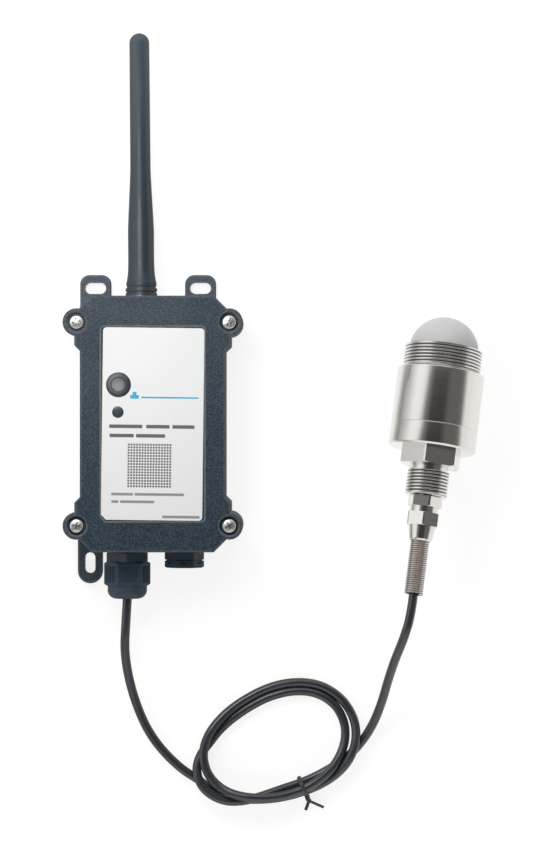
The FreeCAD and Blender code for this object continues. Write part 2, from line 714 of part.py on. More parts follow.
# Cable gland: gasket, body, rubber seal, ribbed cap nut with its dome, and the lock nut inside
gasket_end = END_Y + GLAND_GASKET_T
gland_hole_r = GLAND_THREAD_R + GLAND_CLEAR
write("gland_gasket", fitting(tube(GLAND_GASKET_R, gland_hole_r, END_Y, gasket_end), GLAND_X, AGAINST_Y))
gland_body = joined([
    Part.makeCylinder(GLAND_THREAD_R, GLAND_THREAD_END - GLAND_INNER, V(0, 0, GLAND_INNER)),
    hexagon_nut(GLAND_AF, gasket_end, GLAND_HEX_END, GLAND_BODY_SPIN, EDGE_BEVEL, EDGE_BEVEL),
])
gland_body = gland_body.cut(Part.makeCylinder(GLAND_BORE_R, GLAND_THREAD_END))
write("gland_body", fitting(gland_body, GLAND_X, AGAINST_Y))
seal = [(CABLE_R, SEAL_START), (GLAND_BORE_R, SEAL_START), (GLAND_BORE_R, GLAND_THREAD_END)]
seal += [(SEAL_SHOULDER_R, GLAND_THREAD_END), (SEAL_SHOULDER_R, SEAL_SHOULDER_END)]
seal += [(SEAL_TIP_R, SEAL_END), (CABLE_R, SEAL_END)]
write("gland_seal", fitting(turned(seal), GLAND_X, AGAINST_Y))
cap_hex = hexagon_nut(GLAND_AF, CAP_START, CAP_HEX_END, GLAND_CAP_SPIN, CAP_TOP_CHAMFER, CAP_CHAMFER)
ribs = []
for side in range(6):
    for rib in range(CAP_RIBS):
        offset = (rib - (CAP_RIBS - 1) / 2) * CAP_RIB_PITCH
        size = (2 * CAP_RIB_DEPTH, CAP_RIB_WIDTH, CAP_HEX_END - CAP_START - 2 * CAP_CHAMFER)
        groove = block((GLAND_AF / 2, offset), size, CAP_START + CAP_CHAMFER)
        groove.rotate(V(), UP, GLAND_CAP_SPIN + 30 + 60 * side)
        ribs.append(groove)
dome = Part.makeCylinder(CAP_DOME_R, CAP_END - CAP_START, V(0, 0, CAP_START))
dome_edge = [edge for edge in dome.Edges if edge.BoundBox.ZMin > CAP_END - NEAR]
dome = dome.makeFillet(CAP_ROUND, dome_edge)
cap_hollow = [(0, CAP_START), (gland_hole_r, CAP_START), (gland_hole_r, GLAND_THREAD_END + EDGE_BEVEL)]
cap_hollow += [(CAP_HOLLOW_R, GLAND_THREAD_END + EDGE_BEVEL), (CAP_HOLLOW_R, SEAL_SHOULDER_END)]
cap_hollow += [(SEAL_TIP_R + EDGE_BEVEL, CAP_HOLLOW_END), (CAP_EXIT_R, CAP_HOLLOW_END)]
cap_hollow += [(CAP_EXIT_R, CAP_END), (0, CAP_END)]
cap_nut = joined([cap_hex.cut(ribs), dome]).cut(turned(cap_hollow))
write("gland_cap_nut", fitting(cap_nut, GLAND_X, AGAINST_Y))


def lock_nut(flats, thickness, bore):
    """Returns a plain nut against the inside of the lower wall."""
    nut = hexagon(flats, inner_y - thickness, inner_y, 0)
    return nut.cut(Part.makeCylinder(bore, inner_y))


write("gland_lock_nut", fitting(lock_nut(LOCK_NUT_AF, LOCK_NUT_T, GLAND_THREAD_R), GLAND_X, AGAINST_Y))

# Vent plug: gasket, body with a neck, membrane, cap with windows over the neck, lock nut
vent_gasket_end = END_Y + VENT_GASKET_T
vent_hole_r = VENT_THREAD_R + GLAND_CLEAR
write("vent_gasket", fitting(tube(VENT_GASKET_R, vent_hole_r, END_Y, vent_gasket_end), VENT_X, AGAINST_Y))
vent_body = joined([
    Part.makeCylinder(VENT_THREAD_R, vent_gasket_end - VENT_INNER, V(0, 0, VENT_INNER)),
    hexagon_nut(VENT_AF, vent_gasket_end, VENT_HEX_END, VENT_SPIN, EDGE_BEVEL, EDGE_BEVEL),
    Part.makeCylinder(VENT_NECK_R, VENT_CAP_START - VENT_HEX_END, V(0, 0, VENT_HEX_END)),
    Part.makeCylinder(VENT_SPIGOT_R, VENT_SPIGOT_END - VENT_CAP_START, V(0, 0, VENT_CAP_START)),
])
vent_body = vent_body.cut(Part.makeCylinder(VENT_BORE_R, VENT_SPIGOT_END))
write("vent_body", fitting(vent_body, VENT_X, AGAINST_Y))
membrane_end = VENT_SPIGOT_END + VENT_MEMBRANE_T
membrane = Part.makeCylinder(VENT_SPIGOT_R, VENT_MEMBRANE_T, V(0, 0, VENT_SPIGOT_END))
write("vent_membrane", fitting(membrane, VENT_X, AGAINST_Y))
vent_cap = hexagon_nut(VENT_AF, VENT_CAP_START, VENT_CAP_END, VENT_SPIN, VENT_CAP_EDGE, VENT_CAP_CHAMFER)
windows = [Part.makeCylinder(VENT_SPIGOT_R, membrane_end - VENT_CAP_START, V(0, 0, VENT_CAP_START))]
window_size = (VENT_AF - 2 * VENT_NECK_R, VENT_WINDOW_W, VENT_WINDOW_H)
for side in range(6):
    window = block((VENT_AF / 2, 0), window_size, VENT_CAP_START)
    window.rotate(V(), UP, VENT_SPIN + 30 + 60 * side)
    windows.append(window)
write("vent_cap", fitting(vent_cap.cut(windows), VENT_X, AGAINST_Y))
write("vent_lock_nut", fitting(lock_nut(VENT_NUT_AF, VENT_NUT_T, VENT_THREAD_R), VENT_X, AGAINST_Y))

# Radar probe: Z runs from the shoulder to the tail, Y stays as upright as the rise allows
rise = math.radians(PROBE_RISE)
yaw = math.radians(PROBE_YAW)
tailward = V(-math.sin(yaw) * math.cos(rise), -math.cos(yaw) * math.cos(rise), math.sin(rise))
across = UP.cross(tailward)
probe_frame = FreeCAD.Rotation(across, tailward.cross(across), tailward, "ZXY")


def on_probe(shape):
    """Returns a piece of the probe, moved from its own axis to where the probe lies."""
    shape.Placement = FreeCAD.Placement(PROBE_AT, probe_frame)
    return shape


lens_ball = Part.makeSphere(LENS_R, V(0, 0, LENS_CENTRE))
lens_front = Part.makeCylinder(LENS_R, LENS_R, V(0, 0, LENS_CENTRE - LENS_R))
lens_skirt = Part.makeCylinder(LENS_SEAT_R, LENS_BACK - FRONT_THREAD_START, V(0, 0, FRONT_THREAD_START))
dish = turned([(0, LENS_BACK), (LENS_DISH_R, LENS_BACK), (0, LENS_BACK - LENS_DISH_DEPTH)])
lens = joined([lens_ball.common(lens_front), lens_skirt]).cut(dish)
write("radar_lens", on_probe(lens))
lens_ring = Part.makeTorus(LENS_RING_MEAN_R, LENS_RING_R, V(0, 0, LENS_BACK + LENS_RING_R))
write("lens_o_ring", on_probe(lens_ring))
shell = [(LENS_SEAT_R, FRONT_THREAD_START), (FRONT_THREAD_R - THREAD_LEAD_IN, FRONT_THREAD_START)]
shell += [(FRONT_THREAD_R, FRONT_THREAD_START + THREAD_LEAD_IN), (FRONT_THREAD_R, FRONT_THREAD_END)]
shell += [(FRONT_RELIEF_R, FRONT_THREAD_END), (FRONT_RELIEF_R, 0), (SHELL_R - SHELL_EDGE, 0)]
shell += [(SHELL_R, SHELL_EDGE), (SHELL_R, SEAM - SEAM_EDGE), (SHELL_R - SEAM_EDGE, SEAM)]
shell += [(SHELL_BORE_R, SEAM), (SHELL_BORE_R, SHELL_LIP_HALF), (SHELL_LIP_R, SHELL_LIP_HALF)]
shell += [(SHELL_LIP_R, -SHELL_LIP_HALF), (LENS_SEAT_R, -SHELL_LIP_HALF)]
write("head_shell", on_probe(turned(shell)))

# Radar board, chip, horn and spacer inside the shell
write("radar_board", on_probe(Part.makeCylinder(RADAR_BOARD_R, RADAR_BOARD_T, V(0, 0, RADAR_BOARD))))
write("radar_chip", on_probe(block((0, 0), RADAR_CHIP, RADAR_BOARD - RADAR_CHIP[2])))
flange_back = SHELL_LIP_HALF + HORN_WALL
horn = [(HORN_THROAT_R, RADAR_BOARD), (HORN_MOUTH_R, SHELL_LIP_HALF), (HORN_FLANGE_R, SHELL_LIP_HALF)]
horn += [(HORN_FLANGE_R, flange_back), (HORN_MOUTH_R + HORN_WALL, flange_back)]
horn += [(HORN_THROAT_R + HORN_WALL, RADAR_BOARD)]
write("radar_horn", on_probe(turned(horn)))
spacer_start = RADAR_BOARD + RADAR_BOARD_T
write("board_spacer", on_probe(tube(RADAR_BOARD_R, SPACER_INNER_R, spacer_start, SPIGOT_START)))

# Rear cap: spigot with its O-ring, flange, hexagon, neck and thread, turned from one bar
groove_end = SPIGOT_GROOVE + 2 * SPIGOT_RING_R
groove_r = SHELL_BORE_R - 2 * SPIGOT_RING_R
rear_cap = [(CAP_CAVITY_R, SPIGOT_START), (SHELL_BORE_R, SPIGOT_START), (SHELL_BORE_R, SPIGOT_GROOVE)]
rear_cap += [(groove_r, SPIGOT_GROOVE), (groove_r, groove_end), (SHELL_BORE_R, groove_end)]
rear_cap += [(SHELL_BORE_R, SEAM), (SHELL_R - SEAM_EDGE, SEAM), (SHELL_R, SEAM + SEAM_EDGE)]
rear_cap += [(SHELL_R, REAR_FACE - REAR_EDGE), (SHELL_R - REAR_EDGE, REAR_FACE), (REAR_NECK_R, REAR_FACE)]
thread_edge_r = REAR_THREAD_R - THREAD_LEAD_IN
rear_cap += [(REAR_NECK_R, REAR_NECK_END), (thread_edge_r, REAR_NECK_END)]
rear_cap += [(REAR_THREAD_R, REAR_NECK_END + THREAD_LEAD_IN)]
rear_cap += [(REAR_THREAD_R, REAR_THREAD_END - THREAD_LEAD_IN), (thread_edge_r, REAR_THREAD_END)]
rear_cap += [(SOCKET_R, REAR_THREAD_END)]
rear_cap += [(SOCKET_R, SOCKET_START), (PROBE_BORE_R, SOCKET_START)]
rear_cap += [(PROBE_BORE_R, CAP_CAVITY_END), (CAP_CAVITY_R, CAP_CAVITY_END)]
probe_hex = hexagon_nut(PROBE_HEX_AF, REAR_FACE, PROBE_HEX_END, PROBE_HEX_SPIN, 0, PROBE_HEX_EDGE)
probe_hex = probe_hex.cut(Part.makeCylinder(REAR_NECK_R, PROBE_HEX_END))
write("rear_cap", on_probe(joined([turned(rear_cap), probe_hex])))
ring_at = V(0, 0, SPIGOT_GROOVE + SPIGOT_RING_R)
write("shell_o_ring", on_probe(Part.makeTorus(SHELL_BORE_R - SPIGOT_RING_R, SPIGOT_RING_R, ring_at)))

# Small gland of the probe, its seal and nut, the anti-kink spring and the cable inside them


def small_hexagon(start, end, spin):
    """Returns a hexagon of the probe's small gland, with both ends turned off."""
    return hexagon_nut(SMALL_HEX_AF, start, end, spin, SMALL_HEX_EDGE, SMALL_HEX_EDGE)


small_body = joined([
    Part.makeCylinder(SOCKET_R, SMALL_HEX_START - SOCKET_START, V(0, 0, SOCKET_START)),
    small_hexagon(SMALL_HEX_START, SMALL_HEX_END, SMALL_HEX_SPIN),
    Part.makeCylinder(SMALL_NECK_R, SMALL_NECK_END - SMALL_HEX_END, V(0, 0, SMALL_HEX_END)),
    Part.makeCylinder(SMALL_THREAD_R, SMALL_THREAD_END - SMALL_NECK_END, V(0, 0, SMALL_NECK_END)),
])
small_bore = [(0, SOCKET_START), (PROBE_BORE_R, SOCKET_START), (PROBE_BORE_R, SMALL_SEAL_START)]
small_bore += [(SMALL_SEAL_R, SMALL_SEAL_START), (SMALL_SEAL_R, SMALL_THREAD_END), (0, SMALL_THREAD_END)]
write("probe_gland_body", on_probe(small_body.cut(turned(small_bore))))
write("probe_gland_seal", on_probe(tube(SMALL_SEAL_R, CABLE_R, SMALL_SEAL_START, SMALL_SEAL_END)))
nut_hex = small_hexagon(SMALL_NECK_END, SMALL_NUT_HEX_END, SMALL_NUT_SPIN)
nut_cone = turned([
    (0, SMALL_NECK_END),
    (SMALL_CONE_R, SMALL_NECK_END),
    (SMALL_CONE_R, SMALL_NUT_HEX_END),
    (SMALL_CONE_END_R, SMALL_CONE_END),
    (SMALL_NUT_END_R, SMALL_NUT_END),
    (0, SMALL_NUT_END),
])
nut_bore = [(0, SMALL_NECK_END), (SMALL_THREAD_R, SMALL_NECK_END), (SMALL_THREAD_R, SMALL_THREAD_END)]
nut_bore += [(SMALL_SEAL_R, SMALL_SEAL_END), (PROBE_BORE_R, SMALL_SEAL_END), (PROBE_BORE_R, SPRING_START)]
nut_bore += [(SPRING_R, SPRING_START), (SPRING_R, SMALL_NUT_END), (0, SMALL_NUT_END)]
write("probe_gland_nut", on_probe(joined([nut_hex, nut_cone]).cut(turned(nut_bore))))
write("strain_spring", on_probe(tube(SPRING_R, SPRING_BORE_R, SPRING_START, SPRING_END)))
probe_tail = Part.makeCylinder(CABLE_R, SPRING_END - PROBE_TAIL_START, V(0, 0, PROBE_TAIL_START))
write("probe_tail", on_probe(probe_tail))

# Cable: the end inside the case, the lead from the gland, the lead to the probe, and the coil
tail_end = (GLAND_X, terminal_face, BOARD_Z - TERMINAL_SIZE[2] / 2)
tail_turn = (GLAND_X, -GLAND_INNER, FITTING_Z)
write("cable_tail", round_cord("tail", (LEAD_IN[0], tail_turn, tail_end), CABLE_R))
spring_tip = PROBE_AT + tailward * SPRING_END
write("cable_lead_in", round_cord("lead in", LEAD_IN, CABLE_R))
lead_out = (tuple(spring_tip), tuple(spring_tip + tailward * LEAD_OUT_STRAIGHT)) + LEAD_OUT
print("lead out starts at", [["%.2f" % value for value in point] for point in lead_out[:2]])
write("cable_lead_out", round_cord("lead out", lead_out, CABLE_R))


def oval(grow):
    """Returns the coil's oval as a face, grown or shrunk all round."""
    ellipse = Part.Ellipse(V(0, 0, 0), COIL_LONG + grow, COIL_SHORT + grow)
    return Part.Face(Part.Wire(ellipse.toShape()))


coil_height = V(0, 0, COIL_TOP - COIL_BOTTOM)
coil = oval(COIL_HALF_W).extrude(coil_height).cut(oval(-COIL_HALF_W).extrude(coil_height))
coil = coil.makeFillet(COIL_ROUND, [edge for edge in coil.Edges if edge.BoundBox.ZLength < NEAR])
coil.Placement = FreeCAD.Placement(V(COIL_X, COIL_Y, COIL_BOTTOM), FreeCAD.Rotation(UP, COIL_TURN))
write("cable_coil", coil)

# Twist tie: a flat strap round the bundle, twisted together on the outside with two loose ends
loop_outer = rounded_plate(-TIE_HALF_W, TIE_HALF_W, 0, TIE_TOP, TIE_CORNER, 0, TIE_STRAP)
loop_inner = rounded_plate(TIE_T - TIE_HALF_W, TIE_HALF_W - TIE_T, TIE_T, TIE_TOP - TIE_T,
                           TIE_CORNER - TIE_T, 0, TIE_STRAP)
loop = loop_outer.cut(loop_inner)
tangent = V(math.cos(math.radians(TIE_TURN)), math.sin(math.radians(TIE_TURN)), 0)
loop_frame = FreeCAD.Rotation(UP.cross(tangent), UP, tangent, "ZYX")
loop.Placement = FreeCAD.Placement(V(TIE_X, TIE_Y, 0) - tangent * (TIE_STRAP / 2), loop_frame)
twist_at = V(*TIE_TWIST_AT)
tie_ends = [Part.makeSphere(TIE_TWIST_R, twist_at)]
for end in TIE_TAILS:
    run = V(*end) - twist_at
    tie_ends.append(Part.makeCylinder(TIE_TAIL_R, run.Length, twist_at, run))
write("cable_tie", joined([loop] + tie_ends))
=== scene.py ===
"""Looks of the radar distance sensor: its finishes, fine pieces, cable, light and camera.

Sizes are in millimetres in the frame of the CAD model: +Z out of the lid, +Y along the aerial.
"""

import functools
import json
import logging
import math
from collections.abc import Callable, Mapping, Sequence
from dataclasses import dataclass
from enum import Enum
from typing import Protocol

import bpy
import numpy as np
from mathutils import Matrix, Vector


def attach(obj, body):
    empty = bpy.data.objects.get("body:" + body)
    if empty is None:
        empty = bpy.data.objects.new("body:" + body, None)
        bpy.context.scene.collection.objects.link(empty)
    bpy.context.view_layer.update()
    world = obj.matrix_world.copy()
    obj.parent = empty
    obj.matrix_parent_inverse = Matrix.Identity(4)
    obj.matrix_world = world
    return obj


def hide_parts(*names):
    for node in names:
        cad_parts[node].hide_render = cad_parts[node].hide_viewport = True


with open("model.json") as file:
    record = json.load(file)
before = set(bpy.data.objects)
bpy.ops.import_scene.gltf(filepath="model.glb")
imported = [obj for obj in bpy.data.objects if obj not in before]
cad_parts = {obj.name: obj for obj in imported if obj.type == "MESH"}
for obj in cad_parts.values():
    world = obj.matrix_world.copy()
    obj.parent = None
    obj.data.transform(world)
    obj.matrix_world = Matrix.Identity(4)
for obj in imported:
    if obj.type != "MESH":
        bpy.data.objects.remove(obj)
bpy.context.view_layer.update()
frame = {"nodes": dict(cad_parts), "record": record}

Array = np.ndarray
Colour = tuple[float, float, float]
Point = tuple[float, float, float]
Pair = tuple[float, float]
Carving = Callable[[Array, Array], Array]
Piece = bpy.types.Object
Signal = bpy.types.NodeSocket
Sockets = Mapping[str, bpy.types.NodeSocket]

SIDEWAYS = (1.0, 0.0, 0.0)
LENGTHWAYS = (0.0, 1.0, 0.0)
UPWARDS = (0.0, 0.0, 1.0)
DOWNWARDS = (0.0, 0.0, -1.0)
CABLEWARDS = (0.0, -1.0, 0.0)
PROBE_WAY = (-0.12909, -0.98056, 0.14781)

MM = 0.001
NEAR = 1e-6
CORNER_SHARE = 0.45
GROOVE_SHADE_ATTRIBUTE = "groove_shade"
LOG = logging.getLogger("sensor")


class Body(Enum):
    """The moving bodies of the frame."""

    SENSOR = "sensor_unit"
    BUTTON = "button"


class Socket(Enum):
    """The kinds of socket on an effect."""

    VALUE = "NodeSocketFloat"
    VECTOR = "NodeSocketVector"


# Surfaces


@dataclass
class Surface:
    """Points in millimetres, with how deep in the grooves each is, painted as shade, where there is a
    fourth column, and the quads and triangles between them."""

    points: Array
    quads: Array
    triangles: Array

    def faces(self) -> list[list[int]]:
        """All faces as lists of point numbers."""
        return self.quads.tolist() + self.triangles.tolist()


def merged(surfaces: Sequence[Surface]) -> Surface:
    """Several surfaces as one, with their point numbers shifted behind each other.

    Args:
        surfaces: The surfaces, in any order.

    Returns:
        One surface with all their points and faces.
    """
    shifts = np.cumsum([0] + [len(surface.points) for surface in surfaces[:-1]])
    points = np.vstack([surface.points for surface in surfaces])
    quads = np.vstack([surface.quads + shift for surface, shift in zip(surfaces, shifts)])
    triangles = np.vstack([surface.triangles + shift for surface, shift in zip(surfaces, shifts)])
    return Surface(points, quads, triangles)


def ring_surface(points: Array, closed: bool) -> Surface:
    """A stack of rings, each joined to the next by quads.

    Args:
        points: Places by ring and by column, as an array of rings x columns x 3, or 4 with the painted
            shade of the grooves.
        closed: True where the last ring joins the first; otherwise both are poles of one point.

    Returns:
        The surface, which points outwards where the rings go round to the left of their own way.
    """
    rings, columns, width = points.shape
    if closed:
        here = np.arange(rings * columns).reshape(rings, columns)
        beside = np.roll(here, -1, axis=1)
        quads = np.stack([here, beside, np.roll(beside, -1, axis=0), np.roll(here, -1, axis=0)], -1)
        return Surface(points.reshape(-1, width), quads.reshape(-1, 4), np.empty((0, 3), int))
    here = np.arange((rings - 2) * columns).reshape(rings - 2, columns)
    beside = np.roll(here, -1, axis=1)
    quads = np.stack([here[:-1], beside[:-1], beside[1:], here[1:]], -1).reshape(-1, 4)
    poles = np.full(columns, here.size), np.full(columns, here.size + 1)
    first = np.stack([poles[0], beside[0], here[0]], -1)
    last = np.stack([here[-1], beside[-1], poles[1]], -1)
    places = np.vstack([points[1:-1].reshape(-1, width), points[0, :1], points[-1, :1]])
    return Surface(places, quads, np.vstack([first, last]))


def capped(rings: Array, first: Array, last: Array) -> Surface:
    """A tube of rings with both ends drawn to a point.

    Args:
        rings: Places by ring and by column.
        first: The point before the first ring.
        last: The point behind the last ring.

    Returns:
        The surface.
    """
    ends = [np.broadcast_to(end, (1, *rings.shape[1:])) for end in (first, last)]
    return ring_surface(np.concatenate([ends[0], rings, ends[1]]), closed=False)


def unit(vectors: Array) -> Array:
    """A vector, or rows of vectors, each made one long."""
    return vectors / np.linalg.norm(vectors, axis=-1, keepdims=True)


def slope(room: Array, soft: float) -> Array:
    """1 where there is room and 0 past it, with a straight slope of that width between."""
    return np.clip(room / soft + 0.5, 0, 1)


@dataclass(frozen=True)
class Axis:
    """A line that a piece is turned about; side, top and along are a right-handed set."""

    base: Point
    along: Point
    side: Point
    top: Point

    def place(self, across: Array, up: Array, along: Array) -> Array:
        """Points at those distances to the side, to the top and along the line."""
        steps = np.stack([across, up, along], -1)
        return np.array(self.base) + steps @ np.array([self.side, self.top, self.along])


def upright(x: float, y: float) -> Axis:
    """A line straight up out of the case at that place."""
    return Axis((x, y, 0.0), UPWARDS, SIDEWAYS, LENGTHWAYS)


def rounded(profile: Sequence[Pair], size: float, steps: int = 4) -> Array:
    """A profile with soft corners: each is cut back on both legs and bridged by a parabola.

    Args:
        profile: Pairs of radius and distance along.
        size: How far a corner is cut back, at most a fixed share of its leg.
        steps: Points on each bridge.

    Returns:
        The softened profile as an array of pairs.
    """
    line = np.array(profile, float)
    corner = line[1:-1]

    def cut(other: Array) -> Array:
        """The point on the leg towards another corner where the bridge starts.

        Args:
            other: The corners that the legs lead to.

        Returns:
            One point for each corner.
        """
        leg = other - corner
        length = np.maximum(np.linalg.norm(leg, axis=1, keepdims=True), NEAR)
        return corner + leg * np.minimum(CORNER_SHARE, size / length)

    share = np.linspace(0, 1, steps)[:, None, None]
    bridge = (1 - share) ** 2 * cut(line[:-2]) + 2 * share * (1 - share) * corner
    bridge = bridge + share**2 * cut(line[2:])
    return np.vstack([line[:1], bridge.transpose(1, 0, 2).reshape(-1, 2), line[-1:]])


def arc(centre: Pair, radius: float, first: float, last: float, steps: int) -> list[Pair]:
    """Points on a circle in a profile: radius grows with the sine, distance along with the cosine.

    Args:
        centre: Radius and distance along of the circle's middle.
        radius: The circle's own radius.
        first: Angle of the first point from the along direction, in degrees.
        last: Angle of the last point.
        steps: How many points.

    Returns:
        Pairs of radius and distance along.
    """
    angles = np.radians(np.linspace(first, last, steps))
    return list(zip(centre[0] + radius * np.sin(angles), centre[1] + radius * np.cos(angles)))


class PolarStack:
    """A piece described round an axis: rings of radii, each at its distance along."""

    END_RINGS = 9
    PLAIN_RINGS = 4
    CARVED_RINGS = 60
    PITCH_RINGS = 20
    CREST_SHARE = 0.25
    FLANK_SHARE = 0.65

    def __init__(self, columns: int = 96) -> None:
        """Starts an empty stack.

        Args:
            columns: Points in each ring.
        """
        self.angles = np.arange(columns) * (2 * math.pi / columns)
        self.radii: list[Array] = []
        self.along: list[Array] = []
        self.grooves: list[Array] = []

    def rings(self, radii: Array, along: Array, groove_shade: Array | float = 0.0) -> "PolarStack":
        """Adds rings that may change round the axis.

        Args:
            radii: Radii by ring, and by column where they change round the axis.
            along: Distances along, in the same way.
            groove_shade: How deep in the grooves each point is, from 0 to 1, which the material paints as
                shade.

        Returns:
            The stack itself.
        """
        shape = (len(radii), len(self.angles))
        self.radii.append(np.broadcast_to(radii, shape))
        self.along.append(np.broadcast_to(along, shape))
        self.grooves.append(np.broadcast_to(groove_shade, shape))
        return self

    def turn(self, profile: Sequence[Pair], soft: float = 0.0) -> "PolarStack":
        """Adds a turned profile of radius and distance pairs, with its corners softened."""
        line = rounded(profile, soft) if soft else np.array(profile, float)
        return self.rings(line[:, :1], line[:, 1:])

    def hexagon(
        self,
        flats: float,
        span: Pair,
        spin: float,
        edges: Pair = (0.0, 0.0),
        cone: float = 0.6,
        carving: Carving | None = None,
    ) -> "PolarStack":
        """Adds six flats. A flat's radius is half the width over the cosine of the angle from its
        middle; at the ends a cone cuts the corners back.

        Args:
            flats: Width across the flats.
            span: Where the flats start and end along the axis.
            spin: Angle of one corner, in degrees.
            edges: How far the corners are cut back at the start and at the end.
            cone: Length of the cut along the axis for each unit of its depth.
            carving: Depth to take off, from the distance across a flat and along the axis.

        Returns:
            The stack itself.
        """
        start, end = span
        corner = flats / 2 / math.cos(math.pi / 6)
        ends = np.linspace(0, 1, self.END_RINGS)
        first, last = start + ends * edges[0] * cone, end - ends[::-1] * edges[1] * cone
        body = np.linspace(first[-1], last[0], self.CARVED_RINGS if carving else self.PLAIN_RINGS)
        along = np.concatenate([first, body[1:-1], last])[:, None]
        turn = np.mod(self.angles - math.radians(spin), math.pi / 3) - math.pi / 6
        cut_first = np.maximum(0, edges[0] - (along - start) / cone)
        cut_last = np.maximum(0, edges[1] - (end - along) / cone)
        radii = np.minimum(flats / 2 / np.cos(turn), corner - cut_first - cut_last)
        if carving:
            radii = radii - carving(flats / 2 * np.tan(turn), along)
        return self.rings(radii, along)

    def thread(self, crest: float, depth: float, span: Pair, pitch: float) -> "PolarStack":
        """Adds a right-handed thread: flat crests with soft grooves between, which climb one pitch in
        each turn and run out over half a pitch at both ends; how deep each point lies in the grooves is
        kept as painted shade.

        Args:
            crest: Outer radius.
            depth: How deep the groove is.
            span: Where the thread starts and ends along the axis.
            pitch: Climb in one turn.

        Returns:
            The stack itself.
        """
        start, end = span
        along = np.linspace(start, end, round((end - start) / pitch * self.PITCH_RINGS))[:, None]
        phase = np.mod(along / pitch - self.angles / (2 * math.pi), 1)
        near = np.clip((np.abs(2 * phase - 1) - self.CREST_SHARE) / self.FLANK_SHARE, 0, 1)
        run_out = np.clip(np.minimum(along - start, end - along) / (pitch / 2), 0, 1)
        groove_shade = near**2 * (3 - 2 * near) * run_out
        # The same share sets the depth of the thread and its painted shade.
        return self.rings(crest - depth * groove_shade, along, groove_shade)

    def surface(self, axis: Axis) -> Surface:
        """The stack as a surface, which closes on itself unless it starts at a pole.

        Args:
            axis: The line that it is turned about.

        Returns:
            The surface, with the painted shade of its grooves.
        """
        radii, along = np.vstack(self.radii), np.vstack(self.along)
        points = axis.place(radii * np.cos(self.angles), radii * np.sin(self.angles), along)
        # The painted shade of the grooves rides along as a fourth column.
        points = np.concatenate([points, np.vstack(self.grooves)[..., None]], axis=2)
        return ring_surface(points, closed=radii[0].max() > NEAR)


def carried(path: Array, across: Array, profile: Array) -> Surface:
    """A closed profile carried along a path, with both ends drawn to a point.

    Args:
        path: Points along the middle.
        across: Direction of the profile's width.
        profile: Offsets along the width and along the thickness.

    Returns:
        The surface: each ring is the path's point plus the width times the first offset and the
        direction square to it and to the path times the second.
    """
    way = unit(np.gradient(path, axis=0))
    wide = unit(across - way * np.sum(across * way, axis=1, keepdims=True))
    thick = np.cross(way, wide)
    rings = path[:, None] + wide[:, None] * profile[:, :1] + thick[:, None] * profile[:, 1:]
    return capped(rings, path[0], path[-1])


# Node trees


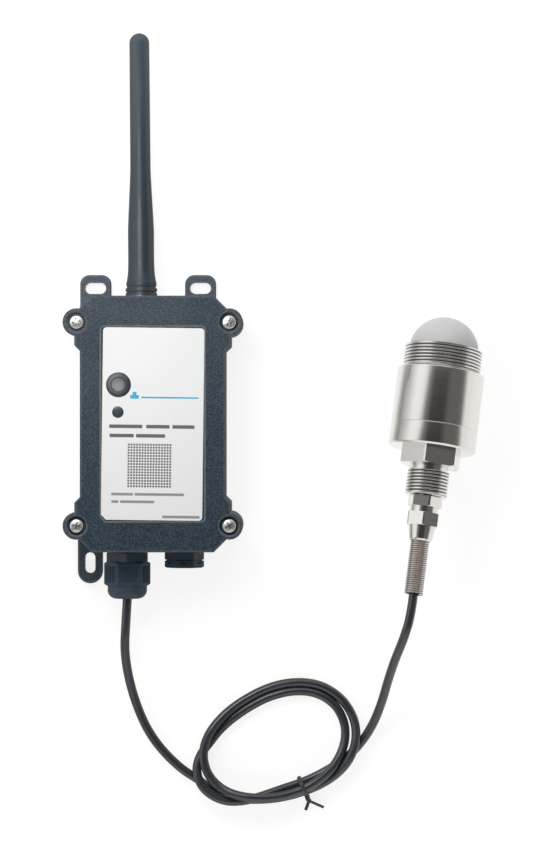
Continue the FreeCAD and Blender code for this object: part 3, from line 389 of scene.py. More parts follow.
class NodeSheet:
    """A node tree, with short calls that add nodes and join them.

    A Mix node has sockets for numbers, vectors and colours. MIX_INPUTS are those of its share and its
    two colours, and MIX_RESULT is that of the colour it gives.
    """

    MIX_INPUTS = (0, 6, 7)
    MIX_RESULT = 2

    def __init__(self, tree: bpy.types.NodeTree) -> None:
        """Works on that tree."""
        self.tree = tree

    def feed(self, socket: Signal, value: object) -> None:
        """Joins another socket to this one, or sets a constant on it.

        Args:
            socket: The input to feed.
            value: The other socket, or the constant.
        """
        if isinstance(value, bpy.types.NodeSocket):
            self.tree.links.new(value, socket)
        else:
            socket.default_value = value

    def fill(self, node: bpy.types.Node, inputs: Mapping[str, object]) -> None:
        """Feeds a node's inputs by name."""
        for name, value in inputs.items():
            self.feed(node.inputs[name], value)

    def add(
        self, kind: str, inputs: Mapping[str, object] | None = None, **settings: object
    ) -> bpy.types.Node:
        """Adds a node.

        Args:
            kind: Blender's name of the node.
            inputs: Values or sockets by input name.
            settings: The node's own options.

        Returns:
            The node.
        """
        node = self.tree.nodes.new(kind)
        for name, value in settings.items():
            setattr(node, name, value)
        self.fill(node, inputs or {})
        return node

    def work(self, kind: str, operation: str, values: Sequence[object]) -> Sockets:
        """Adds a node that works on numbers or vectors.

        Args:
            kind: Blender's name of the node.
            operation: What it does.
            values: Values or sockets for its inputs, in their order.

        Returns:
            Its outputs.
        """
        node = self.add(kind, operation=operation)
        for socket, value in zip(node.inputs, values):
            self.feed(socket, value)
        return node.outputs

    def calc(self, operation: str, *values: object) -> Signal:
        """The result of one sum on numbers or sockets."""
        return self.work("ShaderNodeMath", operation, values)["Value"]

    def vector(self, operation: str, *values: object) -> Signal:
        """The vector that one vector sum gives."""
        return self.work("ShaderNodeVectorMath", operation, values)["Vector"]

    def measure(self, operation: str, *values: object) -> Signal:
        """The number that one vector sum gives, such as a distance."""
        return self.work("ShaderNodeVectorMath", operation, values)["Value"]

    def ramp(
        self, value: object, low: float, high: float, first: float = 0.0, last: float = 1.0
    ) -> Signal:
        """A smooth step from first to last as the value goes from low to high."""
        limits = {"Value": value, "From Min": low, "From Max": high, "To Min": first, "To Max": last}
        return self.add("ShaderNodeMapRange", limits, interpolation_type="SMOOTHSTEP").outputs["Result"]

    def spread(self, mask: Signal, middle: float, change: Pair) -> Signal:
        """A value that is moved by the first change where a mask is 0 and by the second where it is 1."""
        return self.ramp(mask, 0.0, 1.0, middle + change[0], middle + change[1])

    def blend(self, share: object, first: object, second: object) -> Signal:
        """A colour between two colours.

        Args:
            share: How much of the second there is.
            first: A colour, or a socket that gives one.
            second: The other colour.

        Returns:
            The blend.
        """
        node = self.add("ShaderNodeMix", data_type="RGBA")
        for index, value in zip(self.MIX_INPUTS, (share, first, second)):
            self.feed(node.inputs[index], value)
        return node.outputs[self.MIX_RESULT]

    def partly(self, mask: Signal, share: float, first: object, second: object) -> Signal:
        """A colour that goes from the first to the second by a share of a mask."""
        return self.blend(self.calc("MULTIPLY", mask, share), first, second)

    def noise(self, place: object, scale: object, detail: float = 2.0) -> Signal:
        """Soft noise in space from 0 to 1."""
        inputs = {"Vector": place, "Scale": scale, "Detail": detail}
        return self.add("ShaderNodeTexNoise", inputs).outputs[0]

    def split(self, vector: Signal) -> Sockets:
        """A vector's parts X, Y and Z."""
        return self.add("ShaderNodeSeparateXYZ", {"Vector": vector}).outputs

    def effect(self, tree: bpy.types.NodeTree, inputs: Mapping[str, object]) -> Sockets:
        """The outputs of a shared effect that is placed with its own values."""
        return self.add("ShaderNodeGroup", inputs, node_tree=tree).outputs

    def here(self) -> Signal:
        """The place on the piece, in metres in the part's frame."""
        return self.add("ShaderNodeTexCoord").outputs["Object"]


class MaterialSheet(NodeSheet):
    """The node tree of a new material, with its Principled shader."""

    def __init__(self, name: str) -> None:
        """Starts a material.

        Args:
            name: The material's name.
        """
        self.material = bpy.data.materials.new(name)
        self.material.use_nodes = True
        super().__init__(self.material.node_tree)
        self.shader = self.tree.nodes["Principled BSDF"]

    def shade(self, inputs: Mapping[str, object]) -> None:
        """Feeds the shader's inputs by name."""
        self.fill(self.shader, inputs)

    def bump(self, height: Signal, depth: float, strength: float = 1.0) -> None:
        """Bends the shader's normal by a height that is so many millimetres deep."""
        values = {"Height": height, "Distance": depth * MM, "Strength": strength}
        self.shade({"Normal": self.add("ShaderNodeBump", values).outputs["Normal"]})

    def show(self, shader: bpy.types.Node) -> None:
        """Shows another shader in place of the Principled one."""
        self.tree.nodes.remove(self.shader)
        self.fill(self.tree.nodes["Material Output"], {"Surface": shader.outputs[0]})


def rgba(colour: Sequence[float], times: float = 1.0) -> tuple[float, float, float, float]:
    """A colour with full cover, made lighter or darker by a factor."""
    return (colour[0] * times, colour[1] * times, colour[2] * times, 1.0)


def new_effect(
    name: str, inputs: Mapping[str, Socket], outputs: Sequence[str]
) -> tuple[NodeSheet, Sockets, Sockets]:
    """Starts a shared effect.

    Args:
        name: The effect's name.
        inputs: Kinds of its inputs by name.
        outputs: Names of the values that it puts out.

    Returns:
        Its node sheet, the sockets of what it is given, and those of what it puts out.
    """
    tree = bpy.data.node_groups.new(name, "ShaderNodeTree")
    for label, kind in inputs.items():
        tree.interface.new_socket(label, in_out="INPUT", socket_type=kind.value)
    for label in outputs:
        tree.interface.new_socket(label, in_out="OUTPUT", socket_type=Socket.VALUE.value)
    sheet = NodeSheet(tree)
    return sheet, sheet.add("NodeGroupInput").outputs, sheet.add("NodeGroupOutput").inputs


@functools.cache
def spark_grain() -> bpy.types.NodeTree:
    """Spark-eroded mould texture: a coarse noise and a share of a finer one; Speck marks its peaks.

    Returns:
        The effect, which puts out Height and Speck.
    """
    finer, share, peaks = 2.4, 0.3, (0.46, 0.62)
    kinds = {"Vector": Socket.VECTOR, "Scale": Socket.VALUE}
    sheet, given, out = new_effect("spark_grain", kinds, ("Height", "Speck"))
    coarse = sheet.noise(given["Vector"], given["Scale"])
    fine = sheet.noise(given["Vector"], sheet.calc("MULTIPLY", given["Scale"], finer))
    height = sheet.calc("MULTIPLY_ADD", fine, share, sheet.calc("MULTIPLY", coarse, 1 - share))
    sheet.feed(out["Height"], height)
    sheet.feed(out["Speck"], sheet.ramp(height, *peaks))
    return sheet.tree


@functools.cache
def ring_marks() -> bpy.types.NodeTree:
    """Tool marks of a lathe: noise of one coordinate, fine for the height and slow for the streaks.

    Returns:
        The effect, which puts out Height and Streak.
    """
    slower, detail, streaks = 0.13, 3.0, (0.3, 0.7)
    kinds = {"Along": Socket.VALUE, "Scale": Socket.VALUE}
    sheet, given, out = new_effect("ring_marks", kinds, ("Height", "Streak"))
    fine = {"W": given["Along"], "Scale": given["Scale"], "Detail": detail}
    slow = {"W": given["Along"], "Scale": sheet.calc("MULTIPLY", given["Scale"], slower)}
    height = sheet.add("ShaderNodeTexNoise", fine, noise_dimensions="1D").outputs[0]
    streak = sheet.add("ShaderNodeTexNoise", slow, noise_dimensions="1D").outputs[0]
    sheet.feed(out["Height"], height)
    sheet.feed(out["Streak"], sheet.ramp(streak, *streaks))
    return sheet.tree


@functools.cache
def handling() -> bpy.types.NodeTree:
    """Faint smudges from hands: slow noise with its middle stretched.

    Returns:
        The effect, which puts out a Mask.
    """
    detail, middle = 4.0, (0.35, 0.7)
    kinds = {"Vector": Socket.VECTOR, "Scale": Socket.VALUE}
    sheet, given, out = new_effect("handling", kinds, ("Mask",))
    slow = sheet.noise(given["Vector"], given["Scale"], detail)
    sheet.feed(out["Mask"], sheet.ramp(slow, *middle))
    return sheet.tree


@functools.cache
def print_field() -> bpy.types.NodeTree:
    """A printed rectangle: 1 where the place is within Half of Centre both ways, with a thin soft edge.

    Returns:
        The effect, which puts out a Mask.
    """
    soft = 0.06 * MM
    kinds = {"Vector": Socket.VECTOR, "Centre": Socket.VECTOR, "Half": Socket.VECTOR}
    sheet, given, out = new_effect("print_field", kinds, ("Mask",))
    offset = sheet.vector("ABSOLUTE", sheet.vector("SUBTRACT", given["Vector"], given["Centre"]))
    past = sheet.split(sheet.vector("SUBTRACT", offset, given["Half"]))
    furthest = sheet.calc("MAXIMUM", past["X"], past["Y"])
    sheet.feed(out["Mask"], sheet.ramp(furthest, -soft, soft, 1.0, 0.0))
    return sheet.tree


def smudges(sheet: NodeSheet, here: Signal, scale: float) -> Signal:
    """The mask of the smudges at a place."""
    return sheet.effect(handling(), {"Vector": here, "Scale": scale})["Mask"]


def tool_marks(sheet: NodeSheet, here: Signal, axis: Point, width: float) -> Sockets:
    """The height and streaks of a lathe's marks along an axis, so many millimetres wide."""
    along = sheet.measure("DOT_PRODUCT", here, axis)
    return sheet.effect(ring_marks(), {"Along": along, "Scale": 1 / (width * MM)})


# Finishes


class Finish(Protocol):
    """What a finish can do: dress a new material."""

    def dress(self, sheet: MaterialSheet) -> None:
        """Builds the finish on a new material's sheet."""


@dataclass(frozen=True)
class MouldedPlastic:
    """Moulded plastic with a spark-eroded grain, pale specks and faint smudges; where edge is set, its
    edges get a painted highlight, a grey of that lightness that stands in for light caught on them."""

    colour: Colour
    roughness: float
    grain: float = 0.6
    depth: float = 0.02
    speck: float = 0.3
    lift: float = 2.0
    fleck: float = 0.0
    gloss: float = 0.5
    # edge is the grey of the painted edge highlight, 0 for none.
    edge: float = 0.0
    edge_radius: float = 1.1
    edge_facing: Pair = (0.8, 0.985)
    edge_samples: int = 6
    smudge_scale: float = 55.0
    smudge_share: float = 0.12
    smudge_lift: float = 1.6
    smudge_rough: Pair = (-0.04, 0.05)

    def painted_edge_highlight(self, sheet: NodeSheet) -> Signal:
        """Where an edge gets its painted highlight: there the normal rounded over it leaves the true one,
        so that their dot product falls below one.

        Args:
            sheet: The material's nodes.

        Returns:
            A signal that is 1 on an edge.
        """
        radius = {"Radius": self.edge_radius * MM}
        soft = sheet.add("ShaderNodeBevel", radius, samples=self.edge_samples).outputs["Normal"]
        true = sheet.add("ShaderNodeNewGeometry").outputs["True Normal"]
        return sheet.ramp(sheet.measure("DOT_PRODUCT", soft, true), *self.edge_facing, 1.0, 0.0)

    def dress(self, sheet: MaterialSheet) -> None:
        """The grain lifts the colour at its peaks and bends the gloss; smudges change the roughness;
        edges get a painted highlight.

        Args:
            sheet: The new material's nodes.
        """
        here = sheet.here()
        grain = sheet.effect(spark_grain(), {"Vector": here, "Scale": 1 / (self.grain * MM)})
        smudge = smudges(sheet, here, self.smudge_scale)
        peak = (np.array(self.colour) * self.lift + self.fleck).tolist()
        tone = sheet.partly(grain["Speck"], self.speck, rgba(self.colour), rgba(peak))
        # Painted highlight: edges blended towards a pale grey, standing in for light caught on them.
        if self.edge:
            tone = sheet.blend(self.painted_edge_highlight(sheet), tone, rgba((self.edge, self.edge, self.edge)))
        worn = rgba(self.colour, self.smudge_lift)
        sheet.shade({
            "Base Color": sheet.partly(smudge, self.smudge_share, tone, worn),
            "Roughness": sheet.spread(smudge, self.roughness, self.smudge_rough),
            "Specular IOR Level": self.gloss,
        })
        sheet.bump(grain["Height"], self.depth)


@dataclass(frozen=True)
class PlasticWithPaintedLight(MouldedPlastic):
    """Moulded plastic with painted light: another colour near one place, within the first reach, fading
    from it up to the second."""

    place: Point = (0.0, 0.0, 0.0)
    reach: Pair = (1.0, 2.0)
    second: Colour = (0.2, 0.2, 0.2)

    def dress(self, sheet: MaterialSheet) -> None:
        """The plastic, blended into the painted light's colour by the distance from its place.

        Args:
            sheet: The new material's nodes.
        """
        super().dress(sheet)
        plain = sheet.shader.inputs["Base Color"].links[0].from_socket
        apart = sheet.measure("DISTANCE", sheet.here(), tuple(value * MM for value in self.place))
        share = sheet.ramp(apart, self.reach[0] * MM, self.reach[1] * MM, 1.0, 0.0)
        # Painted light: the second colour stands for light, not for the plastic's own colour.
        sheet.shade({"Base Color": sheet.blend(share, plain, rgba(self.second))})


@dataclass(frozen=True)
class TurnedMetal:
    """Machined metal with tool marks along an axis, streaks, a slight stain and painted shade in its
    grooves.
    """

    colour: Colour
    roughness: float
    axis: Point = UPWARDS
    marks: float = 0.25
    depth: float = 0.0008
    strength: float = 0.7
    streak_rough: Pair = (-0.012, 0.015)
    stain: float = 0.2
    stain_scale: float = 140.0
    stain_dark: float = 0.72
    groove_shade_tone: float = 0.2

    def dress(self, sheet: MaterialSheet) -> None:
        """Marks bend the gloss, streaks change the roughness; stains darken the colour, and the grooves
        get painted shade.

        Args:
            sheet: The new material's nodes.
        """
        here = sheet.here()
        marks = tool_marks(sheet, here, self.axis, self.marks)
        stain = smudges(sheet, here, self.stain_scale)
        dark = rgba(self.colour, self.stain_dark)
        tone = sheet.partly(stain, self.stain, rgba(self.colour), dark)
        # Painted shade: darker by how deep each point lies in a thread's grooves, in a screw's cross
        # recess and on the sides of the spring wire.
        deep = sheet.add("ShaderNodeAttribute", attribute_name=GROOVE_SHADE_ATTRIBUTE).outputs["Fac"]
        sheet.shade({
            "Base Color": sheet.blend(deep, tone, rgba(self.colour, self.groove_shade_tone)),
            "Metallic": 1.0,
            "Roughness": sheet.spread(marks["Streak"], self.roughness, self.streak_rough),
        })
        sheet.bump(marks["Height"], self.depth, self.strength)


@dataclass(frozen=True)
class PrintField:
    """A printed rectangle on the label: its middle, half sizes, colour and, where it is a lattice of
    dots, their pitch."""

    centre: Pair
    half: Pair
    colour: Colour
    lattice: float = 0.0


@dataclass(frozen=True)
class PrintedFilm:
    """White label film with a fine tooth and plain printed fields, turned by some degrees."""

    colour: Colour
    roughness: float
    fields: tuple[PrintField, ...] = ()
    turn: float = 0.0
    dot_edge: Pair = (0.1, 0.2)
    smudge_scale: float = 60.0
    smudge_share: float = 0.5
    smudge_dark: float = 0.965
    smudge_rough: Pair = (0.0, 0.08)
    tooth: float = 0.5
    tooth_depth: float = 0.002

    def mask(self, sheet: NodeSheet, here: Signal, field: PrintField) -> Signal:
        """Where a field has ink: its rectangle, less the gaps of its lattice.

        Args:
            sheet: The material's nodes.
            here: The place on the piece.
            field: The field.

        Returns:
            A signal that is 1 on ink.
        """
        centre = (field.centre[0] * MM, field.centre[1] * MM, 0.0)
        half = (field.half[0] * MM, field.half[1] * MM, 1.0)
        ink = sheet.effect(print_field(), {"Vector": here, "Centre": centre, "Half": half})["Mask"]
        if field.lattice:
            pitch = field.lattice * MM
            first, last = self.dot_edge
            place = sheet.split(here)
            for axis in ("X", "Y"):
                wave = sheet.calc("PINGPONG", place[axis], pitch / 2)
                ink = sheet.calc("MULTIPLY", ink, sheet.ramp(wave, first * pitch, last * pitch))
        return ink

    def dress(self, sheet: MaterialSheet) -> None:
        """The ink fields are laid over the film one after another, turned with it.

        Args:
            sheet: The new material's nodes.
        """
        turned = {"Vector": sheet.here(), "Rotation": (0.0, 0.0, math.radians(-self.turn))}
        here = sheet.add("ShaderNodeMapping", turned).outputs["Vector"]
        smudge = smudges(sheet, here, self.smudge_scale)
        dark = rgba(self.colour, self.smudge_dark)
        tone = sheet.partly(smudge, self.smudge_share, rgba(self.colour), dark)
        for field in self.fields:
            tone = sheet.blend(self.mask(sheet, here, field), tone, rgba(field.colour))
        rough = sheet.spread(smudge, self.roughness, self.smudge_rough)
        sheet.shade({"Base Color": tone, "Roughness": rough})
        tooth = sheet.effect(spark_grain(), {"Vector": here, "Scale": 1 / (self.tooth * MM)})
        sheet.bump(tooth["Height"], self.tooth_depth)


@dataclass(frozen=True)
class LensPlastic:
    """Milky white plastic of the radar lens, with faint turning marks and soft depth."""

    colour: Colour
    roughness: float
    axis: Point
    marks: float = 0.4
    depth: float = 0.004
    strength: float = 0.6
    streak_rough: Pair = (-0.03, 0.06)
    cloud_scale: float = 90.0
    cloud_share: float = 0.4
    cloud_dark: float = 0.95
    milk: float = 0.6
    milk_depth: float = 5.0

    def dress(self, sheet: MaterialSheet) -> None:
        """Slow clouds change the tone; turning marks bend the gloss slightly.

        Args:
            sheet: The new material's nodes.
        """
        here = sheet.here()
        cloud = smudges(sheet, here, self.cloud_scale)
        marks = tool_marks(sheet, here, self.axis, self.marks)
        dark = rgba(self.colour, self.cloud_dark)
        sheet.shade({
            "Base Color": sheet.partly(cloud, self.cloud_share, rgba(self.colour), dark),
            "Roughness": sheet.spread(marks["Streak"], self.roughness, self.streak_rough),
            "Subsurface Weight": self.milk,
            "Subsurface Radius": (1.0, 1.0, 1.0),
            "Subsurface Scale": self.milk_depth * MM,
        })
        sheet.bump(marks["Height"], self.depth, self.strength)


@dataclass(frozen=True)
class TintedResin:
    """Glossy coloured resin with a darker heart."""

    colour: Colour
    roughness: float
    cloud_scale: float = 420.0
    cloud_dark: float = 0.75
    cloud_rough: Pair = (0.0, 0.07)

    def dress(self, sheet: MaterialSheet) -> None:
        """Slow clouds darken the colour; the surface stays smooth.

        Args:
            sheet: The new material's nodes.
        """
        cloud = smudges(sheet, sheet.here(), self.cloud_scale)
        sheet.shade({
            "Base Color": sheet.blend(cloud, rgba(self.colour), rgba(self.colour, self.cloud_dark)),
            "Roughness": sheet.spread(cloud, self.roughness, self.cloud_rough),
        })


@dataclass(frozen=True)
class CircuitBoard:
    """Green solder mask over copper tracks, with tinned pads."""

    colour: Colour
    track: Colour
    roughness: float
    track_scale: float = 260.0
    track_width: float = 0.02
    track_gaps: Pair = (0.9, 0.35)
    track_depth: float = 0.03
    track_strength: float = 0.8
    pad: Colour = (0.62, 0.6, 0.55)
    pad_scale: float = 330.0
    pad_edge: Pair = (0.1, 0.16)
    pad_rough: float = 0.25

    def dress(self, sheet: MaterialSheet) -> None:
        """Tracks are the joints of a brick pattern; pads are the middles of small cells.

        Args:
            sheet: The new material's nodes.
        """
        here = sheet.here()
        plan = {"Vector": here, "Scale": self.track_scale, "Mortar Size": self.track_width}
        plan |= {"Brick Width": self.track_gaps[0], "Row Height": self.track_gaps[1]}
        joints = sheet.add("ShaderNodeTexBrick", plan).outputs["Fac"]
        cells = sheet.add("ShaderNodeTexVoronoi", {"Vector": here, "Scale": self.pad_scale}).outputs
        pads = sheet.ramp(cells["Distance"], *self.pad_edge, 1.0, 0.0)
        tone = sheet.blend(joints, rgba(self.colour), rgba(self.track))
        sheet.shade({
            "Base Color": sheet.blend(pads, tone, rgba(self.pad)),
            "Roughness": sheet.ramp(pads, 0.0, 1.0, self.roughness, self.pad_rough),
        })
        sheet.bump(joints, self.track_depth, self.track_strength)


INK_BLUE = (0.022, 0.42, 0.66)
INK_GREY = (0.13, 0.125, 0.125)
INK_PALE = (0.3, 0.29, 0.29)

LABEL_PRINT = (
    PrintField((7.7, 12.0), (13.0, 0.36), INK_BLUE),
    PrintField((-8.35, 12.2), (2.0, 0.8), INK_BLUE),
    PrintField((-8.4, 13.6), (0.9, 0.85), INK_BLUE),
    PrintField((-12.2, -1.2), (7.5, 0.8), INK_GREY),
    PrintField((2.4, -1.2), (5.3, 0.8), INK_GREY),
    PrintField((14.0, -1.2), (5.0, 0.8), INK_GREY),
    PrintField((-14.0, -5.4), (5.5, 0.8), INK_GREY),
    PrintField((-0.9, -5.4), (6.6, 0.8), INK_GREY),
    PrintField((-1.1, -18.9), (10.1, 10.1), INK_GREY, lattice=1.26),
    PrintField((-13.5, -32.0), (4.9, 0.6), INK_PALE),
    PrintField((3.4, -32.0), (11.2, 0.6), INK_PALE),
    PrintField((-16.7, -35.4), (1.6, 0.6), INK_PALE),
    PrintField((-6.6, -35.4), (7.7, 0.6), INK_PALE),
    PrintField((13.3, -42.1), (8.5, 0.6), INK_PALE),
)

# edge is the grey of the painted edge highlight on both case plastics.
CASE_GRAIN = {"grain": 0.54, "depth": 0.1, "speck": 1.0, "gloss": 0.48, "edge": 0.3}
SLEEVE_GRAIN = {"grain": 0.7, "depth": 0.003, "lift": 1.3}

FINISHES: dict[str, Finish] = {
    "case_plastic": MouldedPlastic((0.0065, 0.02, 0.036), 0.5, lift=1.7, fleck=0.042, **CASE_GRAIN),
    # Painted light: the case plastic again, paler, standing in for the extra light on the rear case and
    # its ears.
    "case_plastic_painted_lighter": MouldedPlastic((0.045, 0.065, 0.09), 0.5, lift=1.4, fleck=0.03, **CASE_GRAIN),
    "label_film": PrintedFilm((0.86, 0.865, 0.87), 0.42, LABEL_PRINT, turn=-0.7),
    "dark_window": TintedResin((0.042, 0.056, 0.07), 0.3),
    # Painted highlight: the pale patch round the middle of the button top stands in for a soft
    # reflection; it reaches onto the collar.
    "button_plastic": PlasticWithPaintedLight(
        (0.021, 0.031, 0.041), 0.38, grain=0.4, depth=0.01, gloss=0.7,
        place=(-16.2, 17.8, 38.2), reach=(0.8, 5.4), second=(0.23, 0.237, 0.247),
    ),
    "black_nylon": MouldedPlastic(
        (0.04, 0.063, 0.087), 0.36, grain=0.5, depth=0.006, speck=0.2, gloss=0.25
    ),
    # Painted light: the whip is painted lighter towards its tip and darker towards its base.
    "aerial_jacket": PlasticWithPaintedLight(
        (0.023, 0.037, 0.05), 0.4, grain=0.5, depth=0.012, speck=0.2, gloss=0.6,
        place=(-6.4, 180.0, 15.0), reach=(0.0, 80.0), second=(0.06, 0.078, 0.096),
    ),
    "black_rubber": MouldedPlastic((0.016, 0.016, 0.017), 0.62, grain=0.5, depth=0.01),
    "cable_jacket": MouldedPlastic(
        (0.03, 0.034, 0.042), 0.3, grain=0.45, depth=0.008, speck=0.25, gloss=0.8
    ),
    "tie_plastic": MouldedPlastic((0.04, 0.042, 0.043), 0.5, grain=0.4, depth=0.01),
    "stainless_steel": TurnedMetal((0.77, 0.75, 0.72), 0.2, PROBE_WAY, stain=0.06),
    "spring_steel": TurnedMetal((0.63, 0.565, 0.525), 0.24, PROBE_WAY, marks=0.4),
    "nickel_screw": TurnedMetal((0.92, 0.9, 0.88), 0.34, marks=0.3),
    "brass_plain": TurnedMetal((0.72, 0.53, 0.25), 0.26, LENGTHWAYS),
    "copper_washer": TurnedMetal((0.78, 0.42, 0.28), 0.3, LENGTHWAYS, stain=0.5),
    "gold_plate": TurnedMetal((0.86, 0.64, 0.28), 0.2, LENGTHWAYS),
    "shield_tin": TurnedMetal((0.7, 0.7, 0.69), 0.32, SIDEWAYS, stain=0.35),
    "horn_metal": TurnedMetal((0.7, 0.68, 0.62), 0.28, PROBE_WAY),
    "lens_plastic": LensPlastic((0.76, 0.755, 0.765), 0.42, PROBE_WAY),
    "circuit_board": CircuitBoard((0.012, 0.12, 0.05), (0.03, 0.2, 0.08), 0.38),
    "chip_plastic": MouldedPlastic((0.018, 0.018, 0.02), 0.5, grain=0.25, depth=0.004),
    "terminal_plastic": MouldedPlastic((0.03, 0.2, 0.09), 0.45, grain=0.4, depth=0.006),
    "natural_nylon": MouldedPlastic((0.66, 0.63, 0.55), 0.45, grain=0.5, depth=0.006, lift=1.15),
    "cell_sleeve": MouldedPlastic((0.04, 0.09, 0.3), 0.3, **SLEEVE_GRAIN),
    "capacitor_sleeve": MouldedPlastic((0.05, 0.05, 0.06), 0.3, **SLEEVE_GRAIN),
    "led_resin": TintedResin((0.35, 0.5, 0.6), 0.1),
    "membrane": PrintedFilm((0.8, 0.8, 0.78), 0.7),
}

# The rear case is dressed in the paler copy of the case plastic: painted light.
NODE_FINISHES = {"rear_case": "case_plastic_painted_lighter"}


@functools.cache
def finished(finish: str) -> bpy.types.Material:
    """The material of one finish, made once.

    Args:
        finish: The finish's name, which for most is that of the record's slot.

    Returns:
        The material.
    """
    sheet = MaterialSheet(finish)
    FINISHES[finish].dress(sheet)
    return sheet.material


def placed(name: str, data: bpy.types.ID) -> Piece:
    """A new object with that data, linked into the scene.

    Args:
        name: The object's name.
        data: Its mesh, curve, lamp or camera.

    Returns:
        The object.
    """
    piece = bpy.data.objects.new(name, data)
    bpy.context.scene.collection.objects.link(piece)
    return piece


def declare(piece: Piece, slot: str, replaced: Sequence[str], body: Body = Body.SENSOR) -> None:
    """Finishes a piece, hangs it on its body and hides the CAD nodes that it stands for.

    Args:
        piece: The piece.
        slot: The record's material slot that it is finished in.
        replaced: The CAD nodes that it stands for.
        body: The body that it rides on.
    """
    piece.data.materials.append(finished(slot))
    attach(piece, body.value)
    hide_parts(*replaced)


def make_piece(
    name: str,
    surface: Surface,
    slot: str,
    replaced: str,
    body: Body = Body.SENSOR,
    crease: float = 32.0,
) -> Piece:
    """Puts a surface into the scene as a piece that stands for a CAD node.

    Args:
        name: The piece's name.
        surface: Its points and faces.
        slot: The record's material slot that it is finished in.
        replaced: The CAD node that it stands for.
        body: The body that it rides on.
        crease: Edges that turn by more than this many degrees stay sharp.

    Returns:
        The piece.
    """
    mesh = bpy.data.meshes.new(name)
    mesh.from_pydata((surface.points[:, :3] * MM).tolist(), [], surface.faces())
    mesh.shade_smooth()
    mesh.set_sharp_from_angle(angle=math.radians(crease))
    # The fourth column holds the painted shade of the grooves, stored for the material.
    if surface.points.shape[1] > 3:
        grooves = mesh.attributes.new(GROOVE_SHADE_ATTRIBUTE, "FLOAT", "POINT")
        grooves.data.foreach_set("value", surface.points[:, 3].astype("f4"))
    piece = placed(name, mesh)
    declare(piece, slot, [replaced], body)
    LOG.info("%s: %d faces in %s", name, len(mesh.polygons), slot)
    return piece


# Studio


@dataclass(frozen=True)
class Softbox:
    """A glowing panel: its middle and size in metres, its brightness, and how that is shaded: pairs of
    a share of its height and the share of the brightness there."""

    name: str
    centre: Point
    size: Pair
    level: float
    shades: tuple[Pair, ...] = ((0.0, 1.0), (1.0, 1.0))


LEFT_SHADES = ((0.1, 0.5), (0.4, 1.0), (0.62, 0.95), (0.75, 0.13))


